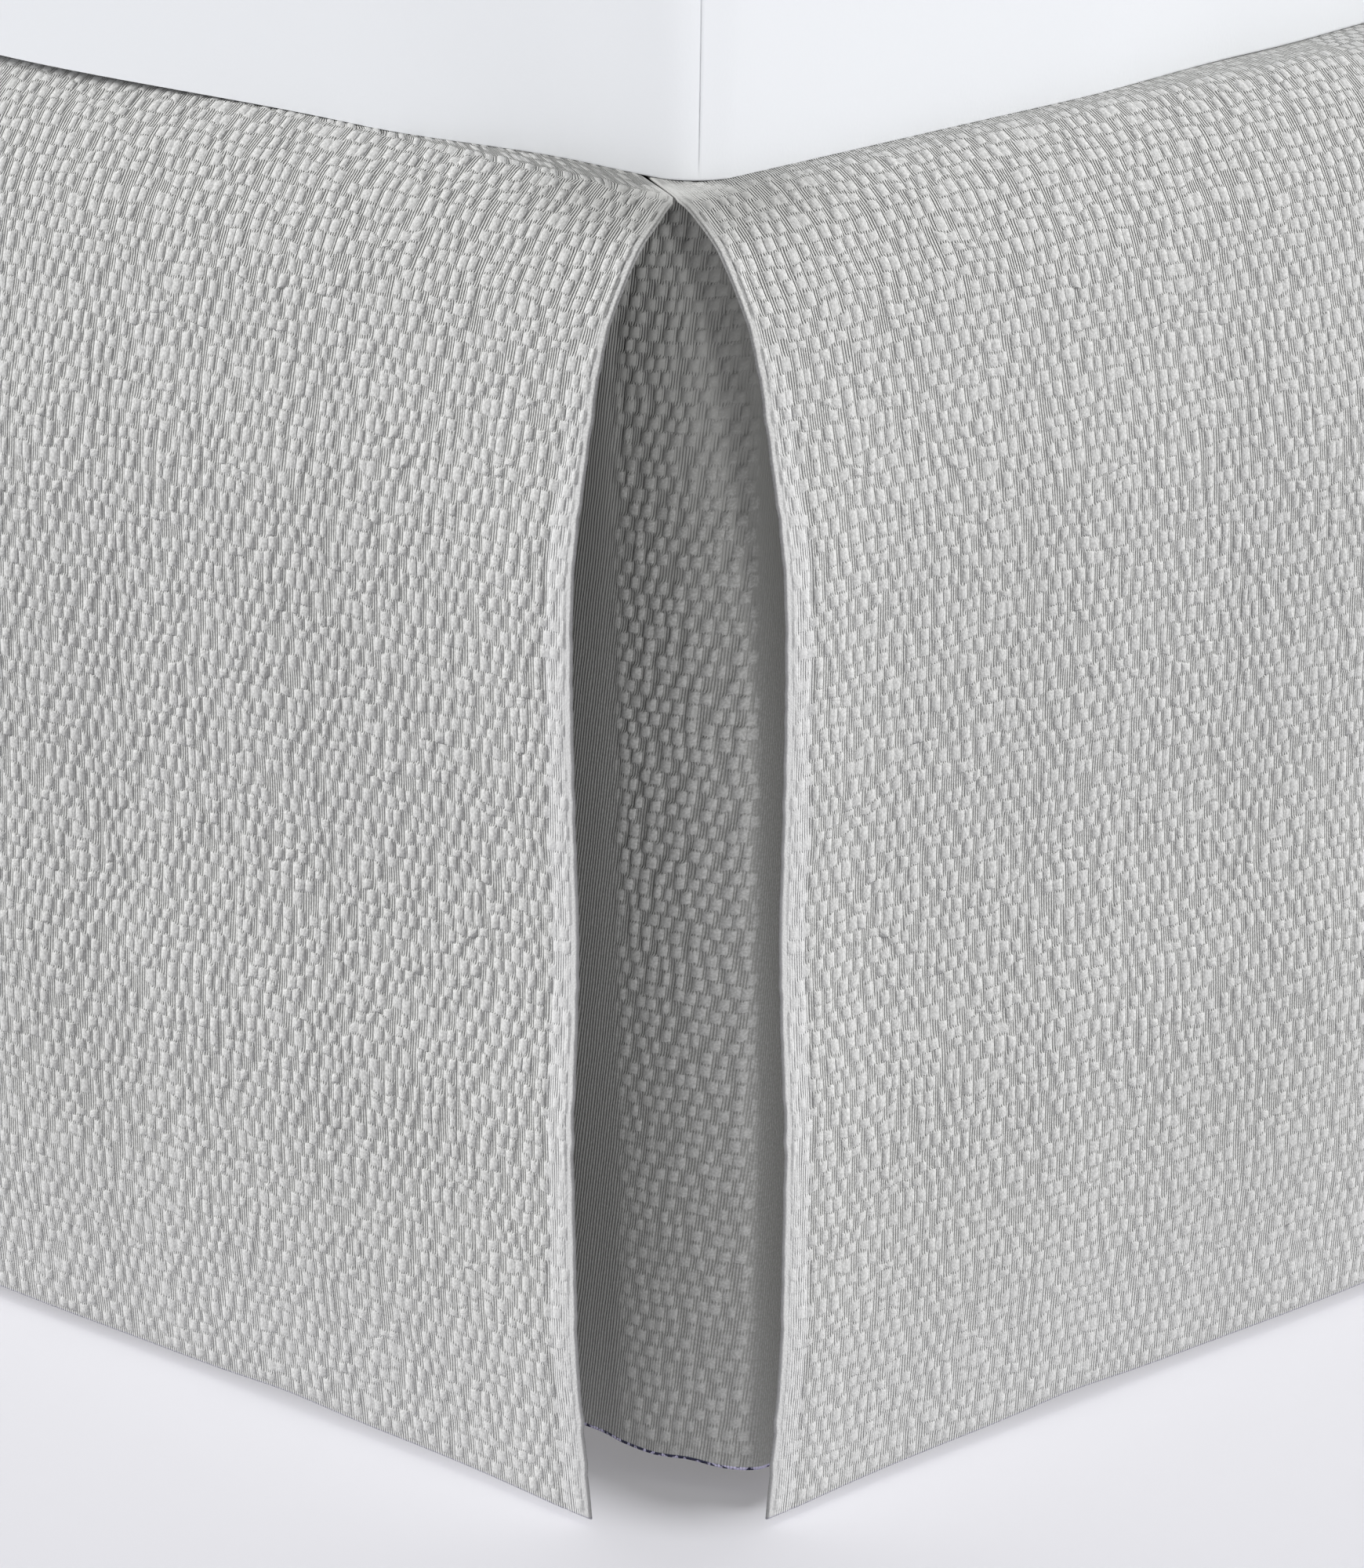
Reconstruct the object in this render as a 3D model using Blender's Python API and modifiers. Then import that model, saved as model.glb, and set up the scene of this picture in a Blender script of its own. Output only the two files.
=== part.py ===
"""Tailored bed skirt with split corners, fitted on a plain twin bed.

Metres, +Z up, +Y towards the head of the bed. The skirt has a platform sheet that lies on the
bed base, a foot panel and two side panels whose shoulders lie on the base's edge, and a narrow
insert behind the split at each foot corner. The base stands on six legs and carries a mattress.
"""

import math
from collections import namedtuple

import bmesh
import bpy
from mathutils import Vector

# ---- skirt, bed and cloth sizes -------------------------------------------------------------
SKIRT_WIDTH = 0.991          # platform, seam line to seam line, a twin bed
SKIRT_LENGTH = 1.905
SKIRT_TOP = 0.381            # top of the platform above the floor
CLOTH = 0.002                # quilted cloth, thickness
LIE_GAP = 0.0005             # between layers that lie on each other
STRIP = 0.045                # width of a panel's strip on the base
BASE_INSET = 0.008           # base is this much smaller than the platform, each side
BASE_BOTTOM = 0.152
BASE_CORNER = 0.050          # plan radius of the base's corners
BASE_LOWER_ROUND = 0.008
BASE_UPPER_ROUND = 0.020
BASE_ROUND_STEPS = 3
BASE_CORNER_STEPS = 4
LEAST_CORNER = 0.35          # a rounded edge keeps at least this share of the plan radius
LEG_TOP_RADIUS = 0.030
LEG_FOOT_RADIUS = 0.022
LEG_GAP = 0.0005
LEG_INSET = 0.110            # leg centre from the base's faces
LEG_SIDES = 16
MATTRESS_HEIGHT = 0.250
MATTRESS_CORNER = 0.024      # plan radius of the mattress's corners
MATTRESS_TOP_ROUND = 0.040
MATTRESS_CROWN = 0.008       # rise of the mattress top at its middle
MATTRESS_SWELL = 0.005       # swell of its sides at mid height
MATTRESS_SPACING = 0.095     # between its outline's points
HEAD_SETBACK = 0.004         # platform and mattress end this far short of the panels' heads

# ---- the panels' hang -----------------------------------------------------------------------
Bend = namedtuple("Bend", "down slope")      # distance down the cloth, degrees below level
BENDS = (
    Bend(-0.045, 0.0), Bend(-0.004, 0.0), Bend(0.000, 12.0), Bend(0.005, 35.0),
    Bend(0.017, 43.0), Bend(0.022, 57.0), Bend(0.034, 59.0), Bend(0.046, 71.0),
    Bend(0.062, 79.0), Bend(0.094, 79.0), Bend(0.124, 89.0), Bend(0.155, 91.0),
    Bend(0.205, 92.5), Bend(0.222, 89.0), Bend(0.262, 86.0), Bend(0.285, 91.5),
    Bend(0.330, 91.0), Bend(0.350, 96.0), Bend(0.392, 96.0),
)
HANG = BENDS[-1].down
HANG_STEP = 0.001
PANEL_ROWS = (-0.045, -0.004, 0.003, 0.010, 0.018, 0.027, 0.038, 0.052, 0.072, 0.098,
              0.128, 0.165, 0.210, 0.250, 0.290, 0.340, HANG)
NEAR_COLUMNS = (0.0, 0.012, 0.030, 0.050, 0.075, 0.100, 0.130, 0.160, 0.200, 0.240, 0.290, 0.360)
FAR_SPACING = 0.200

CORNER_DIP = 0.0020          # panels stand this much further in beyond the split's edge
CORNER_DIP_REACH = 0.040
BELLY = 0.0018               # and swell out again further along
BELLY_START = 0.110
BELLY_FULL = 0.260
HEM_RISE = 0.0012            # hem is this much higher beyond the split's edge
HEM_RISE_REACH = 0.050
HEM_LIFT = 0.0010            # and lifts a little more where it bends
HEM_LIFT_CENTRE = 0.130
HEM_LIFT_REACH = 0.022
HEM_CALM = 0.6               # ripples lose this share at the hem
HEM_CALM_START = 0.270
RIPPLE_START = 0.020         # ripples fade in down the cloth
RIPPLE_FULL = 0.140
NEAR_FADE_START = 0.300      # the corner's ripple fades out along the panel
NEAR_FADE_END = 0.450
Wave = namedtuple("Wave", "height length start")
NEAR_WAVE = Wave(0.0013, 0.110, 0.100)
FAR_WAVES = (Wave(0.0016, 0.410, 0.065), Wave(0.0011, 0.237, 0.030))
SIDE_MITRE = 0.55            # side panel's edge on the base: run along for each unit inward
FOOT_MITRE = 2.0             # the foot panel's edge lies beyond it
FOOT_EDGE_GAP = 0.0012
FOOT_EDGE_EASE = 0.010       # and meets its corner line again this far out

# ---- corner inserts -------------------------------------------------------------------------
# Plan of an insert's face, from the platform's corner: across to the side-panel side, and out
# towards the split (top, middle, hem), millimetres; then its hem's height.
Fold = namedtuple("Fold", "across top middle hem hem_height")
INSERT_FOLDS = (
    Fold(-72, -77, -74, -73, 8), Fold(-43, -48, -45, -44, 9), Fold(-24, -29, -25, -25, 9),
    Fold(-16, -24, -17, -16, 8), Fold(-7, -20.5, -11.5, -11, 7), Fold(3, -19.5, -6, -7.5, 7),
    Fold(12, -21.5, -2, -4, 6), Fold(20, -26, 1, -2, 6), Fold(26, -31, -3, -5, 6),
    Fold(35, -40, -19, -18, 6), Fold(50, -55, -44, -43, 7), Fold(75, -80, -74, -75, 8),
)
INSERT_TOP = 0.3780
INSERT_MIDDLE = 0.200
INSERT_ROWS = (0.0, 0.05, 0.12, 0.22, 0.36, 0.50, 0.65, 0.82, 1.0)
MILLI = 0.001
CORNER_STEPS = 5             # segments of a rounded corner of the mattress
ROUND_STEPS = 4              # segments of its rounded edges

# ---- the mattress's lower edge ----------------------------------------------------------------
# Distance along a side from its start, bow out of the platform's seam line, rounding.
Edge = namedtuple("Edge", "along bow round")
RIGHT_EDGE = (
    Edge(0.00, -0.0035, 0.0045), Edge(0.16, -0.0045, 0.0050), Edge(0.25, -0.0085, 0.0080),
    Edge(0.34, -0.0125, 0.0110), Edge(0.55, -0.0090, 0.0100), Edge(0.90, -0.0040, 0.0070),
    Edge(1.40, -0.0060, 0.0080), Edge(1.91, -0.0050, 0.0060),
)
LEFT_EDGE = (
    Edge(0.00, -0.0040, 0.0050), Edge(0.40, -0.0030, 0.0060), Edge(1.00, 0.0010, 0.0050),
    Edge(1.50, -0.0050, 0.0070), Edge(1.91, -0.0050, 0.0060),
)
FOOT_EDGE = (
    Edge(0.00, -0.0060, 0.0045), Edge(0.05, -0.0055, 0.0040), Edge(0.13, 0.0050, 0.0025),
    Edge(0.27, 0.0145, 0.0018), Edge(0.50, 0.0155, 0.0020), Edge(0.75, 0.0090, 0.0035),
    Edge(0.93, -0.0050, 0.0045), Edge(1.00, -0.0060, 0.0050),
)
HEAD_EDGE = (Edge(0.00, -0.0050, 0.0060), Edge(0.50, -0.0040, 0.0060), Edge(1.00, -0.0050, 0.0060))

ROUGHNESS = 0.85
COLOURS = {
    "matelasse_cloth": (0.56, 0.55, 0.52, 1.0),
    "platform_cloth": (0.80, 0.79, 0.76, 1.0),
    "mattress_cover": (0.86, 0.87, 0.88, 1.0),
    "base_cover": (0.62, 0.60, 0.56, 1.0),
    "leg_wood": (0.12, 0.07, 0.04, 1.0),
}


def between(value, low, high):
    """Smooth 0 to 1 as value goes from low to high."""
    t = min(1.0, max(0.0, (value - low) / (high - low)))
    return t * t * (3.0 - 2.0 * t)


def slope_at(down):
    """Degrees below level of the hanging cloth at a distance down it."""
    for upper, lower in zip(BENDS, BENDS[1:]):
        if down <= lower.down:
            share = (down - upper.down) / (lower.down - upper.down)
            return upper.slope + share * (lower.slope - upper.slope)
    return BENDS[-1].slope


def hang_line():
    """Points (out, height) of the hanging cloth at every HANG_STEP, from the strip's inner edge."""
    points = [(-STRIP, SKIRT_TOP)]
    for step in range(round((HANG + STRIP) / HANG_STEP)):
        slope = math.radians(slope_at(-STRIP + (step + 0.5) * HANG_STEP))
        out, height = points[-1]
        points.append((out + HANG_STEP * math.cos(slope), height - HANG_STEP * math.sin(slope)))
    return points


HANG_LINE = hang_line()


def hang(down):
    """(out, height) of the hanging cloth at a distance down it."""
    place = min((down + STRIP) / HANG_STEP, len(HANG_LINE) - 1.001)
    lower = int(place)
    share = place - lower
    first, second = HANG_LINE[lower], HANG_LINE[lower + 1]
    return (first[0] + share * (second[0] - first[0]), first[1] + share * (second[1] - first[1]))


def wave(form, along):
    """A ripple's height at a distance along a panel."""
    return form.height * math.sin(2.0 * math.pi * (along - form.start) / form.length)


def panel_face(corner_along, along, down):
    """(out, height) of a panel's face; corner_along is the distance from the nearest split."""
    out, height = hang(down)
    loose = between(down, RIPPLE_START, RIPPLE_FULL)
    lively = loose * (1.0 - HEM_CALM * between(down, HEM_CALM_START, HANG))
    near = 1.0 - between(corner_along, NEAR_FADE_START, NEAR_FADE_END)
    out += lively * near * wave(NEAR_WAVE, corner_along)
    out += lively * (1.0 - near) * sum(wave(form, along) for form in FAR_WAVES)
    out -= loose * CORNER_DIP * (1.0 - math.exp(-(corner_along / CORNER_DIP_REACH) ** 2))
    out += loose * BELLY * between(corner_along, BELLY_START, BELLY_FULL)
    lift = HEM_RISE * (1.0 - math.exp(-(corner_along / HEM_RISE_REACH) ** 2))
    lift += HEM_LIFT * math.exp(-((corner_along - HEM_LIFT_CENTRE) / HEM_LIFT_REACH) ** 2)
    height += lift * between(down, 0.5 * HANG, HANG)
    return out, height


def clear_scene():
    for item in list(bpy.data.objects):
        bpy.data.objects.remove(item)


def material(name):
    finish = bpy.data.materials.get(name)
    if finish is None:
        finish = bpy.data.materials.new(name)
        finish.use_nodes = True
        shader = finish.node_tree.nodes["Principled BSDF"]
        shader.inputs["Base Color"].default_value = COLOURS[name]
        shader.inputs["Roughness"].default_value = ROUGHNESS
    return finish


def add_object(name, mesh, finish, home):
    item = bpy.data.objects.new(name, mesh)
    own = material(finish).copy()
    own.name = f"{finish}_{name}"
    mesh.materials.append(own)
    home.objects.link(item)
    return item


def cloth_sheet(name, grid, home):
    """A sheet CLOTH thick behind a grid of face points, rows top to bottom."""
    shell = bmesh.new()
    rows = [[shell.verts.new(point) for point in row] for row in grid]
    for upper, lower in zip(rows, rows[1:]):
        for j in range(len(upper) - 1):
            shell.faces.new((upper[j], lower[j], lower[j + 1], upper[j + 1]))
    mesh = bpy.data.meshes.new(name)
    shell.to_mesh(mesh)
    shell.free()
    item = add_object(name, mesh, "matelasse_cloth", home)
    solidify = item.modifiers.new("thickness", "SOLIDIFY")
    solidify.thickness = CLOTH
    solidify.offset = -1.0
    solidify.use_even_offset = True
    return item


def columns(length, both_ends):
    """Distances along a panel, close together near each split end."""
    far_end = length - NEAR_COLUMNS[-1] if both_ends else length
    count = max(1, round((far_end - NEAR_COLUMNS[-1]) / FAR_SPACING))
    step = (far_end - NEAR_COLUMNS[-1]) / count
    places = list(NEAR_COLUMNS) + [NEAR_COLUMNS[-1] + step * (i + 1) for i in range(count)]
    if both_ends:
        places += [length - place for place in reversed(NEAR_COLUMNS[:-1])]
    return places


def panel(name, corner, run, outward, length, both_ends, edge_start, home):
    """A hanging panel that runs from corner along run and faces outward."""
    start, run, outward = Vector(corner), Vector(run), Vector(outward)
    grid = []
    for down in PANEL_ROWS:
        row = []
        for along in columns(length, both_ends):
            near = min(along, length - along) if both_ends else along
            out, height = panel_face(near, along, down)
            trim = edge_start(hang(down)[0])
            pull = trim * (1.0 - between(near, 0.0, NEAR_COLUMNS[-1]))
            place = along + (pull if along < 0.5 * length or not both_ends else -pull)
            row.append(start + run * place + outward * out + Vector((0.0, 0.0, height)))
        grid.append(row)
    if run.cross(Vector((0.0, 0.0, -1.0))).dot(outward) > 0.0:
        grid = [list(reversed(row)) for row in grid]
    return cloth_sheet(name, grid, home)


def side_edge(out):
    """Where a side panel's split edge starts along it, at a distance out from the seam line."""
    return -SIDE_MITRE * min(0.0, out)


def foot_edge(out):
    """The same for the foot panel, whose edge clears the side panel's."""
    return -FOOT_MITRE * min(0.0, out) + FOOT_EDGE_GAP * (1.0 - between(out, 0.0, FOOT_EDGE_EASE))


def insert_out(fold, share):
    """Distance out of an insert's face at a share of the way from its top to its hem."""
    height = INSERT_TOP + share * (fold.hem_height * MILLI - INSERT_TOP)
    if height > INSERT_MIDDLE:
        blend = between(height, INSERT_MIDDLE, INSERT_TOP)
        return fold.middle + blend * (fold.top - fold.middle), height
    blend = between(height, 0.0, INSERT_MIDDLE)
    return fold.hem + blend * (fold.middle - fold.hem), height


def corner_insert(name, hand, home):
    """The cloth behind the split at one foot corner: hand is +1 at the right, -1 at the left."""
    corner = Vector((hand * 0.5 * SKIRT_WIDTH, -0.5 * SKIRT_LENGTH, 0.0))
    out_way = Vector((hand, -1.0, 0.0)).normalized()
    across_way = Vector((hand, 1.0, 0.0)).normalized()
    grid = []
    for share in INSERT_ROWS:
        row = []
        for fold in INSERT_FOLDS:
            out, height = insert_out(fold, share)
            flat = corner + out_way * out * MILLI + across_way * fold.across * MILLI
            row.append(flat + Vector((0.0, 0.0, height)))
        grid.append(row if hand > 0 else list(reversed(row)))
    return cloth_sheet(name, grid, home)


def rounded_outline(half_x, half_y, radius, corner_steps):
    """Points of a rectangle with rounded corners about the origin, anticlockwise."""
    points = []
    for quarter, (sx, sy) in enumerate(((1, 1), (-1, 1), (-1, -1), (1, -1))):
        for step in range(corner_steps + 1):
            turn = math.radians(90.0 * (quarter + step / corner_steps))
            points.append((sx * (half_x - radius) + radius * math.cos(turn),
                           sy * (half_y - radius) + radius * math.sin(turn)))
    return points


def lofted_block(name, rings, cap_rise, finish, home):
    """A closed block through rings of points; cap_rise lifts the middle of its top."""
    solid = bmesh.new()
    loops = [[solid.verts.new(point) for point in ring] for ring in rings]
    for lower, upper in zip(loops, loops[1:]):
        for j in range(len(lower)):
            k = (j + 1) % len(lower)
            solid.faces.new((lower[j], lower[k], upper[k], upper[j]))
    solid.faces.new(list(reversed(loops[0])))
    if cap_rise:
        centre = sum((vert.co for vert in loops[-1]), Vector()) / len(loops[-1])
        peak = solid.verts.new(centre + Vector((0.0, 0.0, cap_rise)))
        for j in range(len(loops[-1])):
            solid.faces.new((loops[-1][j], loops[-1][(j + 1) % len(loops[-1])], peak))
    else:
        solid.faces.new(loops[-1])
    mesh = bpy.data.meshes.new(name)
    solid.to_mesh(mesh)
    solid.free()
    return add_object(name, mesh, finish, home)


Ring = namedtuple("Ring", "inset height")


def block_rings(half_x, half_y, corner, corner_steps, profile):
    """One ring of points for each step of a profile, about the origin."""
    rings = []
    for ring in profile:
        outline = rounded_outline(half_x - ring.inset, half_y - ring.inset,
                                  max(LEAST_CORNER * corner, corner - ring.inset), corner_steps)
        rings.append([Vector((x, y, ring.height)) for x, y in outline])
    return rings


def rounded_profile(bottom, top, bottom_round, top_round, steps):
    """Rings from a block's underside to its top, with both edges rounded."""
    rings = []
    for step in range(steps + 1):
        turn = math.radians(90.0 * step / steps)
        rings.append(Ring(bottom_round * (1.0 - math.sin(turn)),
                          bottom + bottom_round * (1.0 - math.cos(turn))))
    for step in range(steps + 1):
        turn = math.radians(90.0 * step / steps)
        rings.append(Ring(top_round * (1.0 - math.cos(turn)),
                          top - top_round * (1.0 - math.sin(turn))))
    return rings


def edge_at(edges, along):
    """Bow and rounding of the mattress's lower edge at a distance along one side."""
    for first, second in zip(edges, edges[1:]):
        if along <= second.along:
            blend = between(along, first.along, second.along)
            return (first.bow + blend * (second.bow - first.bow),
                    first.round + blend * (second.round - first.round))
    return edges[-1].bow, edges[-1].round


def turned_round(edges, length):
    """The same edge, measured from the other end of its side."""
    return tuple(Edge(length - edge.along, edge.bow, edge.round) for edge in reversed(edges))


def mattress_outline():
    """(point, outward way, bow, rounding) round the mattress, anticlockwise from the right side."""
    half_x, half_y = 0.5 * SKIRT_WIDTH, 0.5 * SKIRT_LENGTH - HEAD_SETBACK
    right, left, head, foot = Vector((1, 0)), Vector((-1, 0)), Vector((0, 1)), Vector((0, -1))
    wide, long = 2.0 * half_x, 2.0 * half_y
    sides = (
        (Vector((half_x, -half_y)), head, right, long, RIGHT_EDGE),
        (Vector((half_x, half_y)), left, head, wide, HEAD_EDGE),
        (Vector((-half_x, half_y)), foot, left, long, turned_round(LEFT_EDGE, long)),
        (Vector((-half_x, -half_y)), right, foot, wide, turned_round(FOOT_EDGE, wide)),
    )
    points = []
    for index, (start, run, outward, length, edges) in enumerate(sides):
        count = round((length - 2.0 * MATTRESS_CORNER) / MATTRESS_SPACING)
        for step in range(count + 1):
            along = MATTRESS_CORNER + (length - 2.0 * MATTRESS_CORNER) * step / count
            bow, rounding = edge_at(edges, along)
            points.append((start + run * along, outward, bow, rounding))
        following = sides[(index + 1) % len(sides)]
        bow, rounding = edge_at(edges, length)
        next_bow, next_rounding = edge_at(following[-1], 0.0)
        centre = start + run * (length - MATTRESS_CORNER) - outward * MATTRESS_CORNER
        for step in range(1, CORNER_STEPS):
            share = step / CORNER_STEPS
            turn = math.radians(90.0 * share)
            way = outward * math.cos(turn) + run * math.sin(turn)
            points.append((centre + way * MATTRESS_CORNER, way, bow + share * (next_bow - bow),
                           rounding + share * (next_rounding - rounding)))
    return points


def mattress_rings():
    """Rings of points from the mattress's underside, over its swelled sides, to its top."""
    bottom = SKIRT_TOP + LIE_GAP
    top = bottom + MATTRESS_HEIGHT
    outline = mattress_outline()
    rings = []
    for step in range(ROUND_STEPS + 1):
        turn = math.radians(90.0 * step / ROUND_STEPS)
        rings.append([Vector((*(point + way * (bow - rounding * (1.0 - math.sin(turn)))),
                              bottom + rounding * (1.0 - math.cos(turn))))
                      for point, way, bow, rounding in outline])
    swelled = [Vector((*(point + way * (0.5 * bow + MATTRESS_SWELL)), 0.5 * (bottom + top)))
               for point, way, bow, rounding in outline]
    rings.append(swelled)
    for step in range(ROUND_STEPS + 1):
        turn = math.radians(90.0 * step / ROUND_STEPS)
        inset = HEAD_SETBACK + MATTRESS_TOP_ROUND * (1.0 - math.cos(turn))
        rings.append([Vector((*(point - way * inset),
                              top - MATTRESS_TOP_ROUND * (1.0 - math.sin(turn))))
                      for point, way, bow, rounding in outline])
    return rings


def build_skirt(home):
    right, foot = 0.5 * SKIRT_WIDTH, -0.5 * SKIRT_LENGTH
    panel("foot_panel", (right, foot, 0.0), (-1.0, 0.0, 0.0), (0.0, -1.0, 0.0),
          SKIRT_WIDTH, True, foot_edge, home)
    panel("side_panel_right", (right, foot, 0.0), (0.0, 1.0, 0.0), (1.0, 0.0, 0.0),
          SKIRT_LENGTH, False, side_edge, home)
    panel("side_panel_left", (-right, foot, 0.0), (0.0, 1.0, 0.0), (-1.0, 0.0, 0.0),
          SKIRT_LENGTH, False, side_edge, home)
    corner_insert("corner_insert_right", 1, home)
    corner_insert("corner_insert_left", -1, home)


def build_platform(home):
    margin = STRIP + LIE_GAP
    x = 0.5 * SKIRT_WIDTH - margin
    y_foot = -0.5 * SKIRT_LENGTH + margin
    y_head = 0.5 * SKIRT_LENGTH - HEAD_SETBACK
    low, high = SKIRT_TOP - CLOTH, SKIRT_TOP
    rings = [[Vector((px, py, height)) for px, py in
              ((-x, y_foot), (x, y_foot), (x, y_head), (-x, y_head))] for height in (low, high)]
    lofted_block("platform_sheet", rings, 0.0, "platform_cloth", home)


def build_base(home):
    half_x = 0.5 * SKIRT_WIDTH - BASE_INSET
    half_y = 0.5 * SKIRT_LENGTH - BASE_INSET
    top = SKIRT_TOP - CLOTH - LIE_GAP
    profile = rounded_profile(BASE_BOTTOM, top, BASE_LOWER_ROUND, BASE_UPPER_ROUND, BASE_ROUND_STEPS)
    rings = block_rings(half_x, half_y, BASE_CORNER, BASE_CORNER_STEPS, profile)
    lofted_block("bed_base", rings, 0.0, "base_cover", home)
    names = ("foot_right", "foot_left", "mid_right", "mid_left", "head_right", "head_left")
    for index, place in enumerate(names):
        x = (half_x - LEG_INSET) * (1 if index % 2 == 0 else -1)
        y = (half_y - LEG_INSET) * (index // 2 - 1)
        leg = bmesh.new()
        bmesh.ops.create_cone(leg, cap_ends=True, segments=LEG_SIDES, radius1=LEG_FOOT_RADIUS,
                              radius2=LEG_TOP_RADIUS, depth=BASE_BOTTOM - LEG_GAP)
        bmesh.ops.translate(leg, verts=leg.verts,
                            vec=(x, y, 0.5 * (BASE_BOTTOM - LEG_GAP)))
        mesh = bpy.data.meshes.new(f"bed_leg_{place}")
        leg.to_mesh(mesh)
        leg.free()
        add_object(f"bed_leg_{place}", mesh, "leg_wood", home)


def build_mattress(home):
    lofted_block("mattress", mattress_rings(), MATTRESS_CROWN, "mattress_cover", home)


def centre_on_floor(home):
    """Moves everything so the whole stands centred over the origin."""
    places = [vert.co for item in home.objects for vert in item.data.vertices]
    middle_y = 0.5 * (min(place.y for place in places) + max(place.y for place in places))
    for item in home.objects:
        for vert in item.data.vertices:
            vert.co.y -= middle_y


def main():
    clear_scene()
    home = bpy.data.collections.new("bed_skirt")
    bpy.context.scene.collection.children.link(home)
    build_platform(home)
    build_skirt(home)
    build_base(home)
    build_mattress(home)
    centre_on_floor(home)


main()
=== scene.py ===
"""Looks of a tailored bed skirt with split corners, on a plain twin bed.

Metres, +Z up, +Y towards the head of the bed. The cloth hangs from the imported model's places. At
the split corner that faces the camera its woven puffs are real relief; elsewhere they are bump.
"""

import math
from collections import namedtuple

import bpy
import numpy as np
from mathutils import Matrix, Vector


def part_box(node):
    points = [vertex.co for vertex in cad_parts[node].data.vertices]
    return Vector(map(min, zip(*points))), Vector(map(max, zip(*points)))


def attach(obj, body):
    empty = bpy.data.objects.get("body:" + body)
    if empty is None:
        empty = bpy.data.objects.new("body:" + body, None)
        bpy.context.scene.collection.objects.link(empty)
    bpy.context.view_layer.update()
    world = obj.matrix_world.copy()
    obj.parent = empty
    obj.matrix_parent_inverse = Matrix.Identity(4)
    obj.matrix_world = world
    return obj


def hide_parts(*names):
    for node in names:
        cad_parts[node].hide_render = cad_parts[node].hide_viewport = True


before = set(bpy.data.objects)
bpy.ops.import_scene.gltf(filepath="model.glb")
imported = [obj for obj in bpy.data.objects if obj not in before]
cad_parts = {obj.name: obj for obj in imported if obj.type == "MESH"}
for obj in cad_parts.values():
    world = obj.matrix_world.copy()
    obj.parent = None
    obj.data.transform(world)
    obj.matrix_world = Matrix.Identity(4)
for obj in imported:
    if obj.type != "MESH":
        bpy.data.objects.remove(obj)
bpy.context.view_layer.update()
MM = 0.001

# ---- the skirt's sizes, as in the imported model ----
SKIRT_WIDTH = 0.991
SKIRT_LENGTH = 1.905
SKIRT_TOP = 0.381
CLOTH = 0.0019  # the shell's thickness under its relief
EDGE_CLOTH = 0.0009  # and at a split's edge
EDGE_CLOTH_REACH = 0.005
LIE_GAP = 0.0005
STRIP = 0.045  # a panel's strip on the base
HEAD_SETBACK = 0.004

Bend = namedtuple("Bend", "down slope")  # distance down the cloth, degrees below level
BENDS = (
    Bend(-0.045, 0), Bend(-0.004, 0), Bend(0, 12), Bend(0.005, 35),
    Bend(0.017, 43), Bend(0.022, 57), Bend(0.034, 59), Bend(0.046, 71),
    Bend(0.062, 79), Bend(0.094, 79), Bend(0.124, 89), Bend(0.155, 91),
    Bend(0.205, 92.5), Bend(0.222, 89), Bend(0.262, 86), Bend(0.285, 91.5),
    Bend(0.33, 91), Bend(0.35, 96), Bend(0.392, 96),
)
HANG = BENDS[-1].down
HANG_STEP = 0.001

CORNER_DIP = 0.0016  # panels lie this much further in beyond the split
CORNER_DIP_REACH = 0.031
BELLY = 0.0018  # and swell out again further along
BELLY_FADE = (0.11, 0.26)
HEM_RISE = 0.0012  # the hem is this much higher beyond the split
HEM_RISE_REACH = 0.05
HEM_LIFT = 0.001  # and a little more where it bends
HEM_LIFT_CENTRE = 0.13
HEM_LIFT_REACH = 0.022
HEM_CALM = 0.6  # ripples lose this share at the hem
HEM_CALM_START = 0.27
RIPPLE_FADE = (0.02, 0.14)  # ripples fade in down the cloth
NEAR_FADE = (0.3, 0.45)  # the corner's ripple fades out along the panel
Wave = namedtuple("Wave", "height length start")
NEAR_WAVE = Wave(0.0003, 0.11, 0.1)
FAR_WAVES = (Wave(0.0016, 0.41, 0.065), Wave(0.0011, 0.237, 0.03))
SIDE_MITRE = 0.55  # side panel's edge on the base: this far along for 1 inward
FOOT_MITRE = 2  # the foot panel's lies beyond it
FOOT_EDGE_GAP = 0.0012
FOOT_EDGE_EASE = 0.01  # and meets the corner's line this far out
TRIM_REACH = 0.36  # the mitre fades out this far along

# ---- the weave ----
COLUMN = 0.00094  # one fine column of a panel's mesh
ROW_PITCH = 0.0042
ROW_LINES = (0, 0.2, 0.8)  # a row's lines of points: shares of its height
PUFF_PITCH = 5.6  # columns from one puff to the next
PUFF_WIDTHS = (3, 4, 4, 4, 4)  # columns, foot to foot
STRAY = 1.2  # columns, from its even place
ROW_STRAY = 0.8
FIRST_COLUMN = -8  # a puff cut off by the edge begins here or later
BARE_SHARE = 0.01  # puffs left out, where ribs show instead
LEAST_RISE = 0.55
LIFT_STRAY = 0.00045  # up or down the cloth
SLANTS = (-0.00004, 0.00014)  # a puff's columns lie this much higher, one after another
SLANT_PAST = 2  # columns beyond a puff that are set with it
RAGGED = 0.0001  # puffs' ends stray this much
RAGGED_SEED = 100  # added to a weave's own seed
FALL_ACROSS = 7  # powers: the higher, the flatter the top and the steeper the edge
FALL_DOWN = 5
JOIN = 0.33  # two rows meet at this share of their puffs' heights together
RELIEF = 0.00062  # height of a puff in the mesh
CRISP_RELIEF = 0.0004  # and what the material adds to it
CRISP_FALL_ACROSS = 9  # steeper at its sides, and softer at its ends
CRISP_FALL_DOWN = 4
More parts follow.
